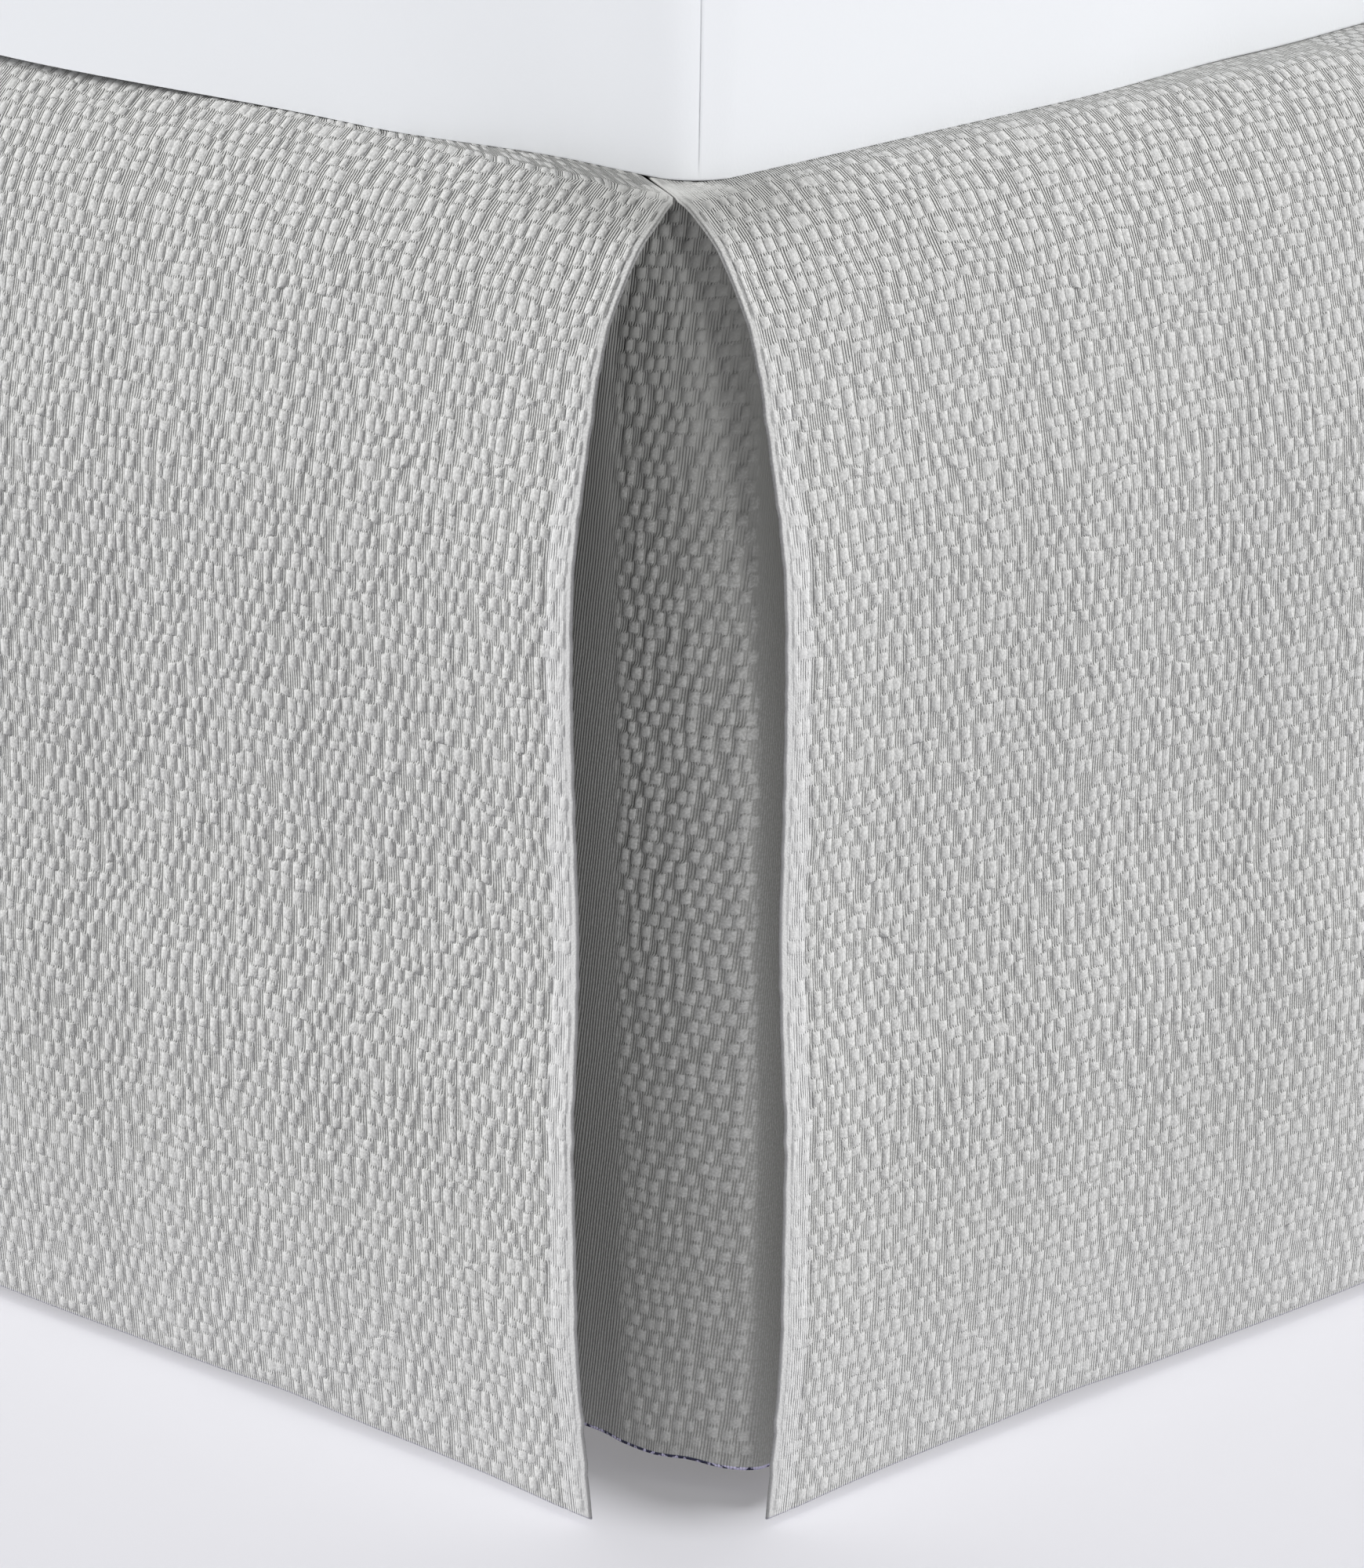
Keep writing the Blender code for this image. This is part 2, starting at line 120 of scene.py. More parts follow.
CRISP_SHORT = 1.1  # it ends sooner up and down, by this factor
HEM_FLATNESS = 0.3  # puffs lose this share of their height towards the hem
HEM_FLAT_FADE = (0.25, 0.36)
STRIP_SHARE = 0.42  # and keep this share under the mattress
STRIP_FADE = (-0.004, 0.004)
WARP_ALONG = 0.0003  # slow drift of the columns
WARP_DOWN = 0.0008  # and of the rows
WARP_LENGTH = 0.024
WARP_CLOSE = 0.00055  # rows' drift from puff to puff
WARP_CLOSE_LENGTH = 0.008
WARP_FADE = 0.012  # they fade out towards the split and the hem
WARP_TOP_FADE = 0.01  # and towards the strip
NOISE_WAVES = 7  # a slow field is the sum of these
NOISE_LENGTHS = (0.7, 1.6)  # of its length
NOISE_CALM = 3  # and is divided by this
ALONG_SEED, DOWN_SEED, EDGE_SEED, CLOSE_SEED = 11, 12, 13, 14
EDGE_WAVER = 0.00018  # unevenness of a split's edge
EDGE_WAVER_LENGTH = 0.007
EDGE_WAVER_REACH = 0.004
EDGE_WAVER_START = (0.02, 0.05)  # down the cloth
RIB_PITCH = 0.00096
RIB_RELIEF = 0.00019
RIB_SWAY = 5  # a rib's drift, in radians of its pitch
SWAY_SCALE = (250, 60, 1)
END_SCALE = (1200, 260, 1)
END_STRAY = 0.45  # a puff's end is ragged by this share of its half height
RIB_LOW = 0.4  # ribs fade out up to this height of a puff
EDGE_FADE = (1, 7)  # millimetres in from the split, where ribs begin
SIDE_HEM_FADE = (11.5, 9)  # millimetres in from the split: doubled cloth, made paler by painted light
HEM_FADE = (300, 385)  # millimetres down, towards the hem
HEM_SHARE = 0.4  # painted light makes it this share as pale as a split's edge
DOUBLED_LIT_SHARE = 0.5  # how far the colour goes to the painted-light colour of the doubled cloth
DOUBLED_LIT_FADE = (30, 120)  # millimetres down, where the painted light begins to show
HEM_SHADE_BITS = 0.0022  # painted shade along the hem's rolled-under edge, in bits of about this length
HEM_SHADE_BIT_SHARES = (0.46, 0.54)
# the hem's band and colours: painted shade along its rolled-under edge, lavender on the panels, dark
# navy on the insert
Finish = namedtuple("Finish", "hem_fade hem_colours dark_along dark_down dark_share")
# painted shade: the panels darken near the corner's apex, the insert towards its top
PANEL_FINISH = Finish((391, 391.7), ((0.3, 0.3, 0.34, 1), (0.38, 0.375, 0.41, 1)),
                      (70, 10), (26, 2), 0.9)
INSERT_FINISH = Finish((376.9, 377.3), ((0.02, 0.02, 0.05, 1), (0.42, 0.4, 0.55, 1)),
                       (400, 300), (170, 40), 0.9)
THREAD = 0.0008  # size of the threads' grain
RIB_SHADE = 0.55  # share of the groove colour between ribs: painted shade
FOOT_SHADE = 0.3  # and at the foot of a puff: painted shade
RIB_TOP_GAIN = 1  # ribs rise by this share where the cloth leaves the bed
RIB_TOP_FADE = (80, 20)  # millimetres down the cloth
THREAD_CUT = (0.38, 0.62)  # threads' own light and dark
THREAD_SHADE = 0.5
FUZZ = 0.00013  # height of the threads
BROAD_LENGTH = 0.09  # the colour's slow change
FAR_RELIEF = 0.0005  # puffs' height as bump alone
FAR_PITCH = 0.0055
FAR_ROW_STRAY = 0.3  # of the pitch
FAR_STRAY = 0.2
FAR_CORE = (1.25, 1.15)  # millimetres: half a puff's flat top, across and down
FAR_FALL = (1, 0.2)  # millimetres out from it, from a puff's end to its full height
FAR_WARP = 5  # millimetres
FAR_WARP_LENGTH = 0.014
FAR_TONE = 0.92  # bump alone casts no shade, so its colour is darker
FINE_LENGTH = 0.276  # relief is in the mesh this far from the split
FINE_FADE = 0.006  # and fades out over this much
FINE_TOP = -0.0146  # and from here down the cloth
BLOCK = 8  # coarse cells span this many fine ones
FAR_STEP = 0.032

# ---- a split's turned edge and the hem ----
ROUND_WIDTH = 0.0007  # an edge's round starts this far in
ROUND_DEPTH = 0.0004
EDGE_STEPS = (0, 0.07, 0.2, 0.42, 0.7, 1.05, 1.4, 1.75, 2.1, 2.5)  # millimetres in
SIDE_HEM = 0.01  # its stitches are this far in
SIDE_HEM_RELIEF = 0.6  # and its puffs keep this share
SIDE_HEM_START = (0.04, 0.12)  # from about here down
STITCH_DEPTH = 0.00025
STITCH_WIDTH = 0.0009
STITCH_START = (0, 0.02)
HEM_STEPS = (1.6, 1.2, 0.85, 0.55, 0.3, 0.1, 0)  # millimetres above the hem's end


def between(value, low, high):
    """Smooth 0 to 1 as value goes from low to high."""
    t = np.clip((value - low) / (high - low), 0, 1)
    return t * t * (3 - 2 * t)


# ---- how a panel hangs ----
def hang_line():
    """Distances down the hanging cloth, and its distance out and height there."""
    down = np.arange(-STRIP, HANG + 0.5 * HANG_STEP, HANG_STEP)
    slopes = np.interp(down[:-1] + 0.5 * HANG_STEP, [bend.down for bend in BENDS],
                       [math.radians(bend.slope) for bend in BENDS])
    out = np.concatenate(([0], np.cumsum(HANG_STEP * np.cos(slopes)))) - STRIP
    height = SKIRT_TOP - np.concatenate(([0], np.cumsum(HANG_STEP * np.sin(slopes))))
    return down, out, height


HANG_DOWN, HANG_OUT, HANG_HEIGHT = hang_line()


def wave(form, along):
    """A ripple's height at a distance along a panel."""
    return form.height * np.sin(2 * math.pi * (along - form.start) / form.length)


def panel_face(corner_along, along, down):
    """(out, height) of a panel's face; corner_along is the distance from the nearest split."""
    out = np.interp(down, HANG_DOWN, HANG_OUT)
    height = np.interp(down, HANG_DOWN, HANG_HEIGHT)
    loose = between(down, *RIPPLE_FADE)
    lively = loose * (1 - HEM_CALM * between(down, HEM_CALM_START, HANG))
    near = 1 - between(corner_along, *NEAR_FADE)
    out = out + lively * near * wave(NEAR_WAVE, corner_along)
    out = out + lively * (1 - near) * sum(wave(form, along) for form in FAR_WAVES)
    out = out - loose * CORNER_DIP * (1 - np.exp(-(corner_along / CORNER_DIP_REACH) ** 2))
    out = out + loose * BELLY * between(corner_along, *BELLY_FADE)
    lift = HEM_RISE * (1 - np.exp(-(corner_along / HEM_RISE_REACH) ** 2))
    lift = lift + HEM_LIFT * np.exp(-((corner_along - HEM_LIFT_CENTRE) / HEM_LIFT_REACH) ** 2)
    return out, height + lift * between(down, 0.5 * HANG, HANG)


def side_edge(out):
    """Where a side panel's split edge starts along it, at a distance out from the seam line."""
    return -SIDE_MITRE * np.minimum(0, out)


def foot_edge(out):
    """The same for the foot panel, whose edge clears the side panel's."""
    return (-FOOT_MITRE * np.minimum(0, out)
            + FOOT_EDGE_GAP * (1 - between(out, 0, FOOT_EDGE_EASE)))


Trough = namedtuple("Trough", "along down reach_along reach_down depth")  # along from the split
FOOT_TROUGHS = (
    Trough(0.02, 0.24, 0.02, 0.09, 0.0006), Trough(0.2, 0.24, 0.018, 0.11, 0.0005),
    Trough(0.09, 0.07, 0.03, 0.035, 0.0004), Trough(0.245, 0.1, 0.02, 0.06, 0.0004),
)
SIDE_TROUGHS = (
    Trough(0.03, 0.2, 0.022, 0.17, 0.0007), Trough(0.262, 0.25, 0.022, 0.11, 0.0008),
    Trough(0.175, 0.08, 0.022, 0.05, 0.0005), Trough(0.15, 0.33, 0.025, 0.05, 0.0005),
)
# both_ends: a split at each end; relief: the share of their height that its puffs keep
Panel = namedtuple(
    "Panel", "name corner run outward length both_ends edge_start fine seed relief troughs")
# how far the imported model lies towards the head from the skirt's own middle
BED_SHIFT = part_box("platform_sheet")[0][1] - (-0.5 * SKIRT_LENGTH + STRIP + LIE_GAP)
RIGHT = 0.5 * SKIRT_WIDTH
FOOT = BED_SHIFT - 0.5 * SKIRT_LENGTH
PANELS = (
    Panel("foot_panel", (RIGHT, FOOT), (-1, 0), (0, -1), SKIRT_WIDTH, True, foot_edge,
          True, 3, 1, FOOT_TROUGHS),
    Panel("side_panel_right", (RIGHT, FOOT), (0, 1), (1, 0), SKIRT_LENGTH, False,
          side_edge, True, 3, 0.78, SIDE_TROUGHS),
    Panel("side_panel_left", (-RIGHT, FOOT), (0, 1), (-1, 0), SKIRT_LENGTH, False,
          side_edge, False, 5, 1, ()),
)


def panel_points(panel, along, down):
    """Places in space of a panel's face at distances along and down it."""
    near = np.minimum(along, panel.length - along) if panel.both_ends else along
    out, height = panel_face(near, along, down)
    for trough in panel.troughs:
        shape = np.exp(-((near - trough.along) / trough.reach_along) ** 2
                       - ((down - trough.down) / trough.reach_down) ** 2)
        out = out - trough.depth * shape * between(down, *RIPPLE_FADE)
    trim = panel.edge_start(np.interp(down, HANG_DOWN, HANG_OUT))
    pull = trim * (1 - between(near, 0, TRIM_REACH))
    if panel.both_ends:
        pull = np.where(along < 0.5 * panel.length, pull, -pull)
    place = along + pull
    x = panel.corner[0] + panel.run[0] * place + panel.outward[0] * out
    y = panel.corner[1] + panel.run[1] * place + panel.outward[1] * out
    return np.stack((x, y, height), axis=-1)


# ---- the weave's pattern ----
def slow_noise(along, down, length, seed):
    """Smooth random field, about -1 to 1, over a grid of places."""
    rng = np.random.default_rng(seed)
    total = np.zeros(np.broadcast(along, down).shape)
    for turn in rng.uniform(0, 2 * math.pi, NOISE_WAVES):
        pace = 2 * math.pi / (length * rng.uniform(*NOISE_LENGTHS))
        start = rng.uniform(0, 2 * math.pi)
        total += np.sin(pace * (along * math.cos(turn) + down * math.sin(turn)) + start)
    return total / NOISE_CALM


Puffs = namedtuple("Puffs", "middle half rise lift")


def lay_puffs(columns, rows, seed):
    """The puff that covers each gap between columns, in each row: rise is 0 where there is none."""
    rng = np.random.default_rng(seed)
    puffs = Puffs(*(np.zeros((rows, columns)) for _ in Puffs._fields))
    phase = 0
    for row in range(rows):
        phase = (phase + PUFF_PITCH * 0.5 + rng.normal(0, ROW_STRAY)) % PUFF_PITCH
        place, clear = phase - 2 * PUFF_PITCH, FIRST_COLUMN
        while place < columns:
            width = int(rng.choice(PUFF_WIDTHS))
            first = max(clear, round(place + rng.uniform(-STRAY, STRAY)))
            rise, lift = rng.uniform(LEAST_RISE, 1), rng.uniform(-LIFT_STRAY, LIFT_STRAY)
            slant = rng.uniform(*SLANTS)
            covered = slice(max(0, first), max(0, first + width))
            if rng.random() >= BARE_SHARE:
                puffs.middle[row, covered] = first + 0.5 * width
                puffs.half[row, covered] = 0.5 * width
                puffs.rise[row, covered] = rise
            beyond = np.arange(covered.start, min(columns, first + width + SLANT_PAST))
            puffs.lift[row, covered.start:] = lift - slant * 0.5 * width
            puffs.lift[row, beyond] = lift - slant * np.clip(
                beyond - first - 0.5 * width, -0.5 * width, 0.5 * width)
            clear = first + width
            place += PUFF_PITCH
    return puffs


def dome(across, down):
    """Height of a puff, 0 to 1, where across and down go from -1 to 1 over it."""
    return ((1 - np.minimum(np.abs(across), 1) ** FALL_ACROSS)
            * (1 - np.abs(down) ** FALL_DOWN))


Weave = namedtuple("Weave", "height lift corners")


def weave_lines(columns, rows, seed):
    """Heights and lifts by column and line, and each fine face's place on its puff."""
    puffs = lay_puffs(columns, rows, seed)
    rng = np.random.default_rng(seed + RAGGED_SEED)
    ragged = rng.normal(0, RAGGED, (columns, rows))
    shares = np.array(ROW_LINES + (1,)) * 2 - 1
    count = len(ROW_LINES)
    height = np.zeros((columns, count * rows + 1))
    lift = np.zeros_like(height)
    corners = np.zeros((columns - 1, count * rows, 4, 3))
    number = np.arange(columns - 1)
    half = np.maximum(puffs.half[:, :-1], 1)
    left = (number - puffs.middle[:, :-1]) / half
    right = (number + 1 - puffs.middle[:, :-1]) / half
    rise = puffs.rise[:, :-1]
    for row in range(rows):
        for place in range(count):
            line = count * row + place
            for corner, (across, end) in enumerate(((left, 0), (right, 0), (right, 1), (left, 1))):
                corners[:, line, corner, 0] = across[row]
                corners[:, line, corner, 1] = shares[place + end]
                corners[:, line, corner, 2] = rise[row]
            if place:
                height[:-1, line] = rise[row] * dome(left[row], shares[place])
                lift[:, line] = puffs.lift[row]
            elif row:
                height[:-1, line] = JOIN * (rise[row - 1] * dome(left[row - 1], 0)
                                            + rise[row] * dome(left[row], 0))
                lift[:, line] = 0.5 * (puffs.lift[row - 1] + puffs.lift[row]) + ragged[:, row]
    return Weave(height, lift, corners)


# ---- cloth shells from grids ----
def put(name, data):
    """A new object in the scene."""
    item = bpy.data.objects.new(name, data)
    bpy.context.scene.collection.objects.link(item)
    return item


Cell = namedtuple("Cell", "i0 i1 j0 j1")


def grid_cells(fine_columns, columns, rows, fine):
    """Cells of one side of a shell: fine ones up to fine_columns, and coarse ones beyond."""
    step = 1 if fine else BLOCK
    for i in range(0, fine_columns, step):
        for j in range(0, rows - 1, step):
            yield Cell(i, i + step, j, j + step)
    for i in range(fine_columns, columns - 1):
        for j in range(0, rows - 1, BLOCK):
            yield Cell(i, i + 1, j, j + BLOCK)


def ring_of(cell):
    """Index pairs once round a cell."""
    ring = [(i, cell.j0) for i in range(cell.i0, cell.i1)]
    ring += [(cell.i1, j) for j in range(cell.j0, cell.j1)]
    ring += [(i, cell.j1) for i in range(cell.i1, cell.i0, -1)]
    return ring + [(cell.i0, j) for j in range(cell.j1, cell.j0, -1)]


def shell(name, front, back, fine_columns, puffs, flip, looks):
    """A closed sheet between two grids of points; puffs holds each fine face's corner values."""
    columns, rows = front.shape[:2]
    column, line = np.arange(columns)[:, None], np.arange(rows)[None, :]
    edge = (column % (columns - 1) == 0) | (line % (rows - 1) == 0)
    coarse = line % BLOCK == 0
    far = column > fine_columns
    front_used = np.where(far, coarse, True)
    back_used = coarse & (far | (column % BLOCK == 0)) | edge & front_used
    fronts, backs = -np.ones((2, columns, rows), int)
    fronts[front_used] = np.arange(front_used.sum())
    backs[back_used] = front_used.sum() + np.arange(back_used.sum())
    faces, values, far_faces = [], [], []
    plain = np.zeros(3)
    for index, is_front in ((fronts, True), (backs, False)):
        for cell in grid_cells(fine_columns, columns, rows, is_front):
            face = [index[pair] for pair in ring_of(cell) if index[pair] >= 0]
            is_far = not is_front or cell.i0 >= fine_columns
            far_faces.append(is_far)
            faces.append(face if is_front else face[::-1])
            values.append([plain] * len(face) if is_far else list(puffs[cell.i0, cell.j0]))
    loop = [pair for pair in ring_of(Cell(0, columns - 1, 0, rows - 1)) if fronts[pair] >= 0]
    for first, second in zip(loop, loop[1:] + loop[:1]):
        faces.append([fronts[second], fronts[first], backs[first], backs[second]])
        values.append([plain] * 4)
        far_faces.append(max(first[0], second[0]) > fine_columns)
    if flip:
        faces = [face[::-1] for face in faces]
        values = [value[::-1] for value in values]
    mesh = bpy.data.meshes.new(name)
    points = np.concatenate((front[front_used], back[back_used]))
    mesh.from_pydata(points.tolist(), [], [list(map(int, face)) for face in faces])
    mesh.attributes.new("puff", "FLOAT_VECTOR", "CORNER").data.foreach_set(
        "vector", np.concatenate(values).astype(np.float32).ravel())
    for look in looks:
        mesh.materials.append(look)
    mesh.polygons.foreach_set("material_index", np.array(far_faces, np.int32))
    mesh.shade_smooth()
    places = np.indices((columns, rows)).transpose(1, 2, 0)
    return put(name, mesh), np.concatenate((places[front_used], places[back_used]))


def hang_cloth(name, along, down, sides, fine_columns, puffs, looks):
    """A hanging sheet whose points keep their place in the cloth, for the material."""
    front, back, turned = sides
    item, places = shell(name + "_cloth", front, back, fine_columns, puffs, turned, looks)
    cloth = np.zeros((len(places), 3), np.float32)
    cloth[:, 0] = along[places[:, 0]]
    cloth[:, 1] = down[places[:, 1]]
    item.data.attributes.new("cloth", "FLOAT_VECTOR", "POINT").data.foreach_set(
        "vector", cloth.ravel())
    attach(item, "root")
    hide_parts(name)
    return item


def facing(points, outward, place):
    """Unit normals on the side that outward points to at one place, and whether they had to turn."""
    normal = np.cross(np.gradient(points, axis=0), np.gradient(points, axis=1))
    normal = normal / np.linalg.norm(normal, axis=-1, keepdims=True)
    turned = bool((normal[place] * outward).sum() <= 0)
    return (-normal if turned else normal), turned


def rounded_edge(distance):
    """Depth of an edge's round at a distance in from it."""
    t = np.clip(distance / ROUND_WIDTH, 0, 1)
    return ROUND_DEPTH * (1 - np.sqrt(np.clip(1 - (1 - t) ** 2, 0, 1)))


Grid = namedtuple("Grid", "along down fine_columns first_line rows")


def panel_grid(panel):
    """Distances along and down of a panel's columns and lines, and where its fine part lies."""
    edges = np.array(EDGE_STEPS) * MM
    fine_count = round((FINE_LENGTH - edges[-1]) / COLUMN) if panel.fine else 0
    fine_count += (1 - (len(edges) + fine_count)) % BLOCK
    near = np.concatenate((edges, edges[-1] + COLUMN * np.arange(1, fine_count + 1)))
    last = panel.length - edges[::-1]
    count = max(2, round((last[0] - near[-1]) / FAR_STEP))
    far = np.linspace(near[-1], last[0], count + 1)[1:]
    along = np.concatenate((near, far, last[1:]))
    hem = HANG - np.array(HEM_STEPS) * MM
    rows = round((hem[0] - FINE_TOP) / ROW_PITCH)
    pitch = (hem[0] - FINE_TOP) / rows
    lines = FINE_TOP + pitch * np.add.outer(np.arange(rows), np.array(ROW_LINES)).ravel()
    strip_count = (1 - (len(lines) + len(hem))) % BLOCK or BLOCK
    strip = np.linspace(-STRIP, FINE_TOP, strip_count + 1)[:-1]
    return Grid(along, np.concatenate((strip, lines, hem)), len(near) - 1, strip_count, rows)


def panel_weave(panel, grid):
    """A panel's heights, lifts and puff corners by column and line: 0 outside its fine part."""
    columns, lines = len(grid.along), len(grid.down)
    height, lift = np.zeros((2, columns, lines))
    puffs = np.zeros((columns - 1, lines - 1, 4, 3))
    if panel.fine:
        start, end = len(EDGE_STEPS) - 1, grid.fine_columns
        weave = weave_lines(end - start + 1, grid.rows, panel.seed)
        low, high = grid.first_line, grid.first_line + weave.height.shape[1]
        height[start:end + 1, low:high] = weave.height
        lift[start:end + 1, low:high] = weave.lift
        puffs[start:end, low:high - 1] = weave.corners
    return height, lift, puffs


def drifted(wide, tall, near, lift):
    """Distances along and down at which a panel's points are set: its weave is uneven."""
    drift = between(near, 0, WARP_FADE) * between(HANG - tall, 0, WARP_FADE)
    drift = drift * between(tall, FINE_TOP, FINE_TOP + WARP_TOP_FADE)
    waver = EDGE_WAVER * (1 - between(wide, 0, EDGE_WAVER_REACH))
    waver = waver * between(tall, *EDGE_WAVER_START)
    along = wide + WARP_ALONG * drift * slow_noise(wide, tall, WARP_LENGTH, ALONG_SEED)
    along = along + waver * slow_noise(0 * wide, tall, EDGE_WAVER_LENGTH, EDGE_SEED)
    down = tall + lift + WARP_DOWN * drift * slow_noise(wide, tall, WARP_LENGTH, DOWN_SEED)
    down = down + WARP_CLOSE * drift * slow_noise(wide, tall, WARP_CLOSE_LENGTH, CLOSE_SEED)
    return along, down


def relief_share(panel, wide, tall, near, fine_end):
    """The share of their height that a panel's puffs keep."""
    pressed = (1 - SIDE_HEM_RELIEF) * between(tall, *SIDE_HEM_START)
    share = np.where(near < SIDE_HEM, 1 - pressed, 1)
    share = share * (STRIP_SHARE + (1 - STRIP_SHARE) * between(tall, *STRIP_FADE))
    share = share * between(fine_end - wide, 0, FINE_FADE)
    return share * panel.relief * (1 - HEM_FLATNESS * between(tall, *HEM_FLAT_FADE))


def build_panel(panel, looks):
    grid = panel_grid(panel)
    wide, tall = grid.along[:, None], grid.down[None, :]
    near = np.minimum(wide, panel.length - wide)
    height, lift, puffs = panel_weave(panel, grid)
    base = panel_points(panel, *drifted(wide, tall, near, lift))
    even = panel_points(panel, wide + 0 * tall, tall + 0 * wide)
    normal, turned = facing(even, np.array((*panel.outward, 0)), (0, -2))
    share = relief_share(panel, wide, tall, near, grid.along[grid.fine_columns])
    puffs[..., 2] *= share[:-1, :-1, None]
    round_off = np.minimum(rounded_edge(near) + rounded_edge(HANG - tall), ROUND_DEPTH)
    stitch = STITCH_DEPTH * np.exp(-((near - SIDE_HEM) / STITCH_WIDTH) ** 2)
    raised = RELIEF * share * height - round_off - stitch * between(tall, *STITCH_START)
    thick = EDGE_CLOTH + (CLOTH - EDGE_CLOTH) * between(near, 0, EDGE_CLOTH_REACH)
    front = base + normal * raised[..., None]
    back = base - normal * (thick + 0 * tall)[..., None]
    sides = (front, back, turned)
    item = hang_cloth(panel.name, grid.along, grid.down, sides, grid.fine_columns, puffs, looks)
    return item


# ---- materials ----
Surface = namedtuple("Surface", "roughness sheen specular")
CLOTH_SURFACE = Surface(0.92, 0.06, 0.18)
# the third colour is painted shade, between ribs, at puffs' feet and in the darker zones; the
# threads' grain also darkens towards it
Colours = namedtuple("Colours", "dim bright groove doubled")
# the last colour is paler: painted light where the cloth is doubled
CLOTH_COLOURS = Colours((0.45, 0.45, 0.44, 1), (0.49, 0.49, 0.485, 1),
                        (0.29, 0.29, 0.28, 1), (0.52, 0.52, 0.52, 1))


class Tree:
    """A material's nodes, with short calls for those that this file uses."""

    def __init__(self, name):
        self.material = bpy.data.materials.new(name)
        self.material.use_nodes = True
        self.nodes = self.material.node_tree.nodes
        self.links = self.material.node_tree.links
        self.shader = self.nodes["Principled BSDF"]

    def attribute(self, name):
        return self.node("ShaderNodeAttribute", attribute_name=name).outputs["Vector"]

    def place(self):
        return self.node("ShaderNodeTexCoord").outputs["Object"]

    def node(self, kind, inputs=(), **settings):
        made = self.nodes.new(kind)
        for key, value in settings.items():
            setattr(made, key, value)
        for key, value in dict(inputs).items():
            self.feed(made.inputs[key], value)
        return made

    def feed(self, socket, value):
        if isinstance(value, bpy.types.NodeSocket):
            self.links.new(value, socket)
        else:
            socket.default_value = value

    def math(self, operation, *values):
        made = self.node("ShaderNodeMath", operation=operation)
        for socket, value in zip(made.inputs, values):
            self.feed(socket, value)
        return made.outputs[0]

    def smooth(self, value, low, high, to_low=0, to_high=1):
        made = self.node("ShaderNodeMapRange", interpolation_type="SMOOTHSTEP", inputs={
            "Value": value, "From Min": low, "From Max": high, "To Min": to_low, "To Max": to_high})
        return made.outputs["Result"]

    def noise(self, vector, scale, detail=2, output="Fac"):
        made = self.node("ShaderNodeTexNoise", inputs={
            "Vector": vector, "Scale": scale, "Detail": detail})
        return made.outputs[output]

    def stretched(self, vector, scale):
        made = self.node("ShaderNodeMapping", inputs={"Vector": vector, "Scale": scale})
        return made.outputs["Vector"]

    def parts(self, vector):
        return self.node("ShaderNodeSeparateXYZ", inputs={"Vector": vector}).outputs

    def more(self, value, share, base):
        """The base with a share of a value added."""
        return self.math("MULTIPLY_ADD", value, share, base)

    def strayed(self, value, chance, reach):
        """Value with a stray from the middle of chance, which goes from 0 to 1."""
        return self.more(self.math("SUBTRACT", chance, 0.5), reach, value)

    def product(self, first, *others):
        for value in others:
            first = self.math("MULTIPLY", first, value)
        return first

    def blend(self, amount, first, second):
        made = self.node("ShaderNodeMix", data_type="RGBA")
        for socket, value in zip((made.inputs[0], made.inputs[6], made.inputs[7]),
                                 (amount, first, second)):
            self.feed(socket, value)
        return made.outputs[2]

    def bump(self, height, distance):
        made = self.node("ShaderNodeBump", inputs={"Height": height, "Distance": distance})
        self.links.new(made.outputs["Normal"], self.shader.inputs["Normal"])

    def finish(self, base, surface):
        for key, value in zip(("Base Color", "Roughness", "Sheen Weight", "Specular IOR Level"),
                              (base, *surface)):
            self.feed(self.shader.inputs[key], value)
        return self.material


def far_puffs(tree, along, down):
    """Height of puffs made in the material alone, 0 to 1, at a place in the weave in millimetres."""
    pitch, row_pitch = FAR_PITCH / MM, ROW_PITCH / MM
    lines = tree.math("DIVIDE", down, row_pitch)
    row = tree.math("FLOOR", lines)
    line_stray = tree.node("ShaderNodeTexWhiteNoise", inputs={"W": row}, noise_dimensions="1D")
    odd = tree.math("FLOORED_MODULO", row, 2)
    puffs = tree.more(odd, 0.5, tree.math("DIVIDE", along, pitch))
    puffs = tree.more(line_stray.outputs["Value"], FAR_ROW_STRAY, puffs)
    across = tree.math("FLOOR", puffs)
    cell = tree.node("ShaderNodeCombineXYZ", inputs={"X": across, "Y": row}).outputs["Vector"]
    stray = tree.node("ShaderNodeTexWhiteNoise", inputs={"Vector": cell}, noise_dimensions="3D")
    stray = tree.parts(stray.outputs["Color"])
    x = tree.math("SUBTRACT", tree.math("FRACT", puffs), 0.5)
    y = tree.math("SUBTRACT", tree.math("FRACT", lines), 0.5)
    reaches = []
    for value, size, core in zip((tree.strayed(x, stray["X"], FAR_STRAY), y),
                                 (pitch, row_pitch), FAR_CORE):
        reach = tree.more(tree.math("ABSOLUTE", value), size, -core)
        reaches.append(tree.math("POWER", tree.math("MAXIMUM", reach, 0), 2))
    shape = tree.smooth(tree.math("SQRT", tree.math("ADD", *reaches)), *FAR_FALL)
    rise = tree.more(stray["Y"], 1 - LEAST_RISE, LEAST_RISE)
    present = tree.math("GREATER_THAN", stray["Z"], BARE_SHARE)
    return tree.product(shape, rise, present)


def near_puffs(tree, place):
    """What the material adds to the mesh's own puffs, 0 to 1, with ragged ends."""
    own = tree.parts(tree.attribute("puff"))
    ragged = tree.noise(tree.stretched(place, END_SCALE), 1, 0)
    end = tree.strayed(tree.product(own["Y"], CRISP_SHORT), ragged, END_STRAY)
    across, tall = (
        tree.math("SUBTRACT", 1, tree.math("POWER", tree.math("ABSOLUTE", value), fall))
        for value, fall in ((own["X"], CRISP_FALL_ACROSS), (end, CRISP_FALL_DOWN)))
    return tree.product(own["Z"], across, tree.math("MAXIMUM", tall, 0))


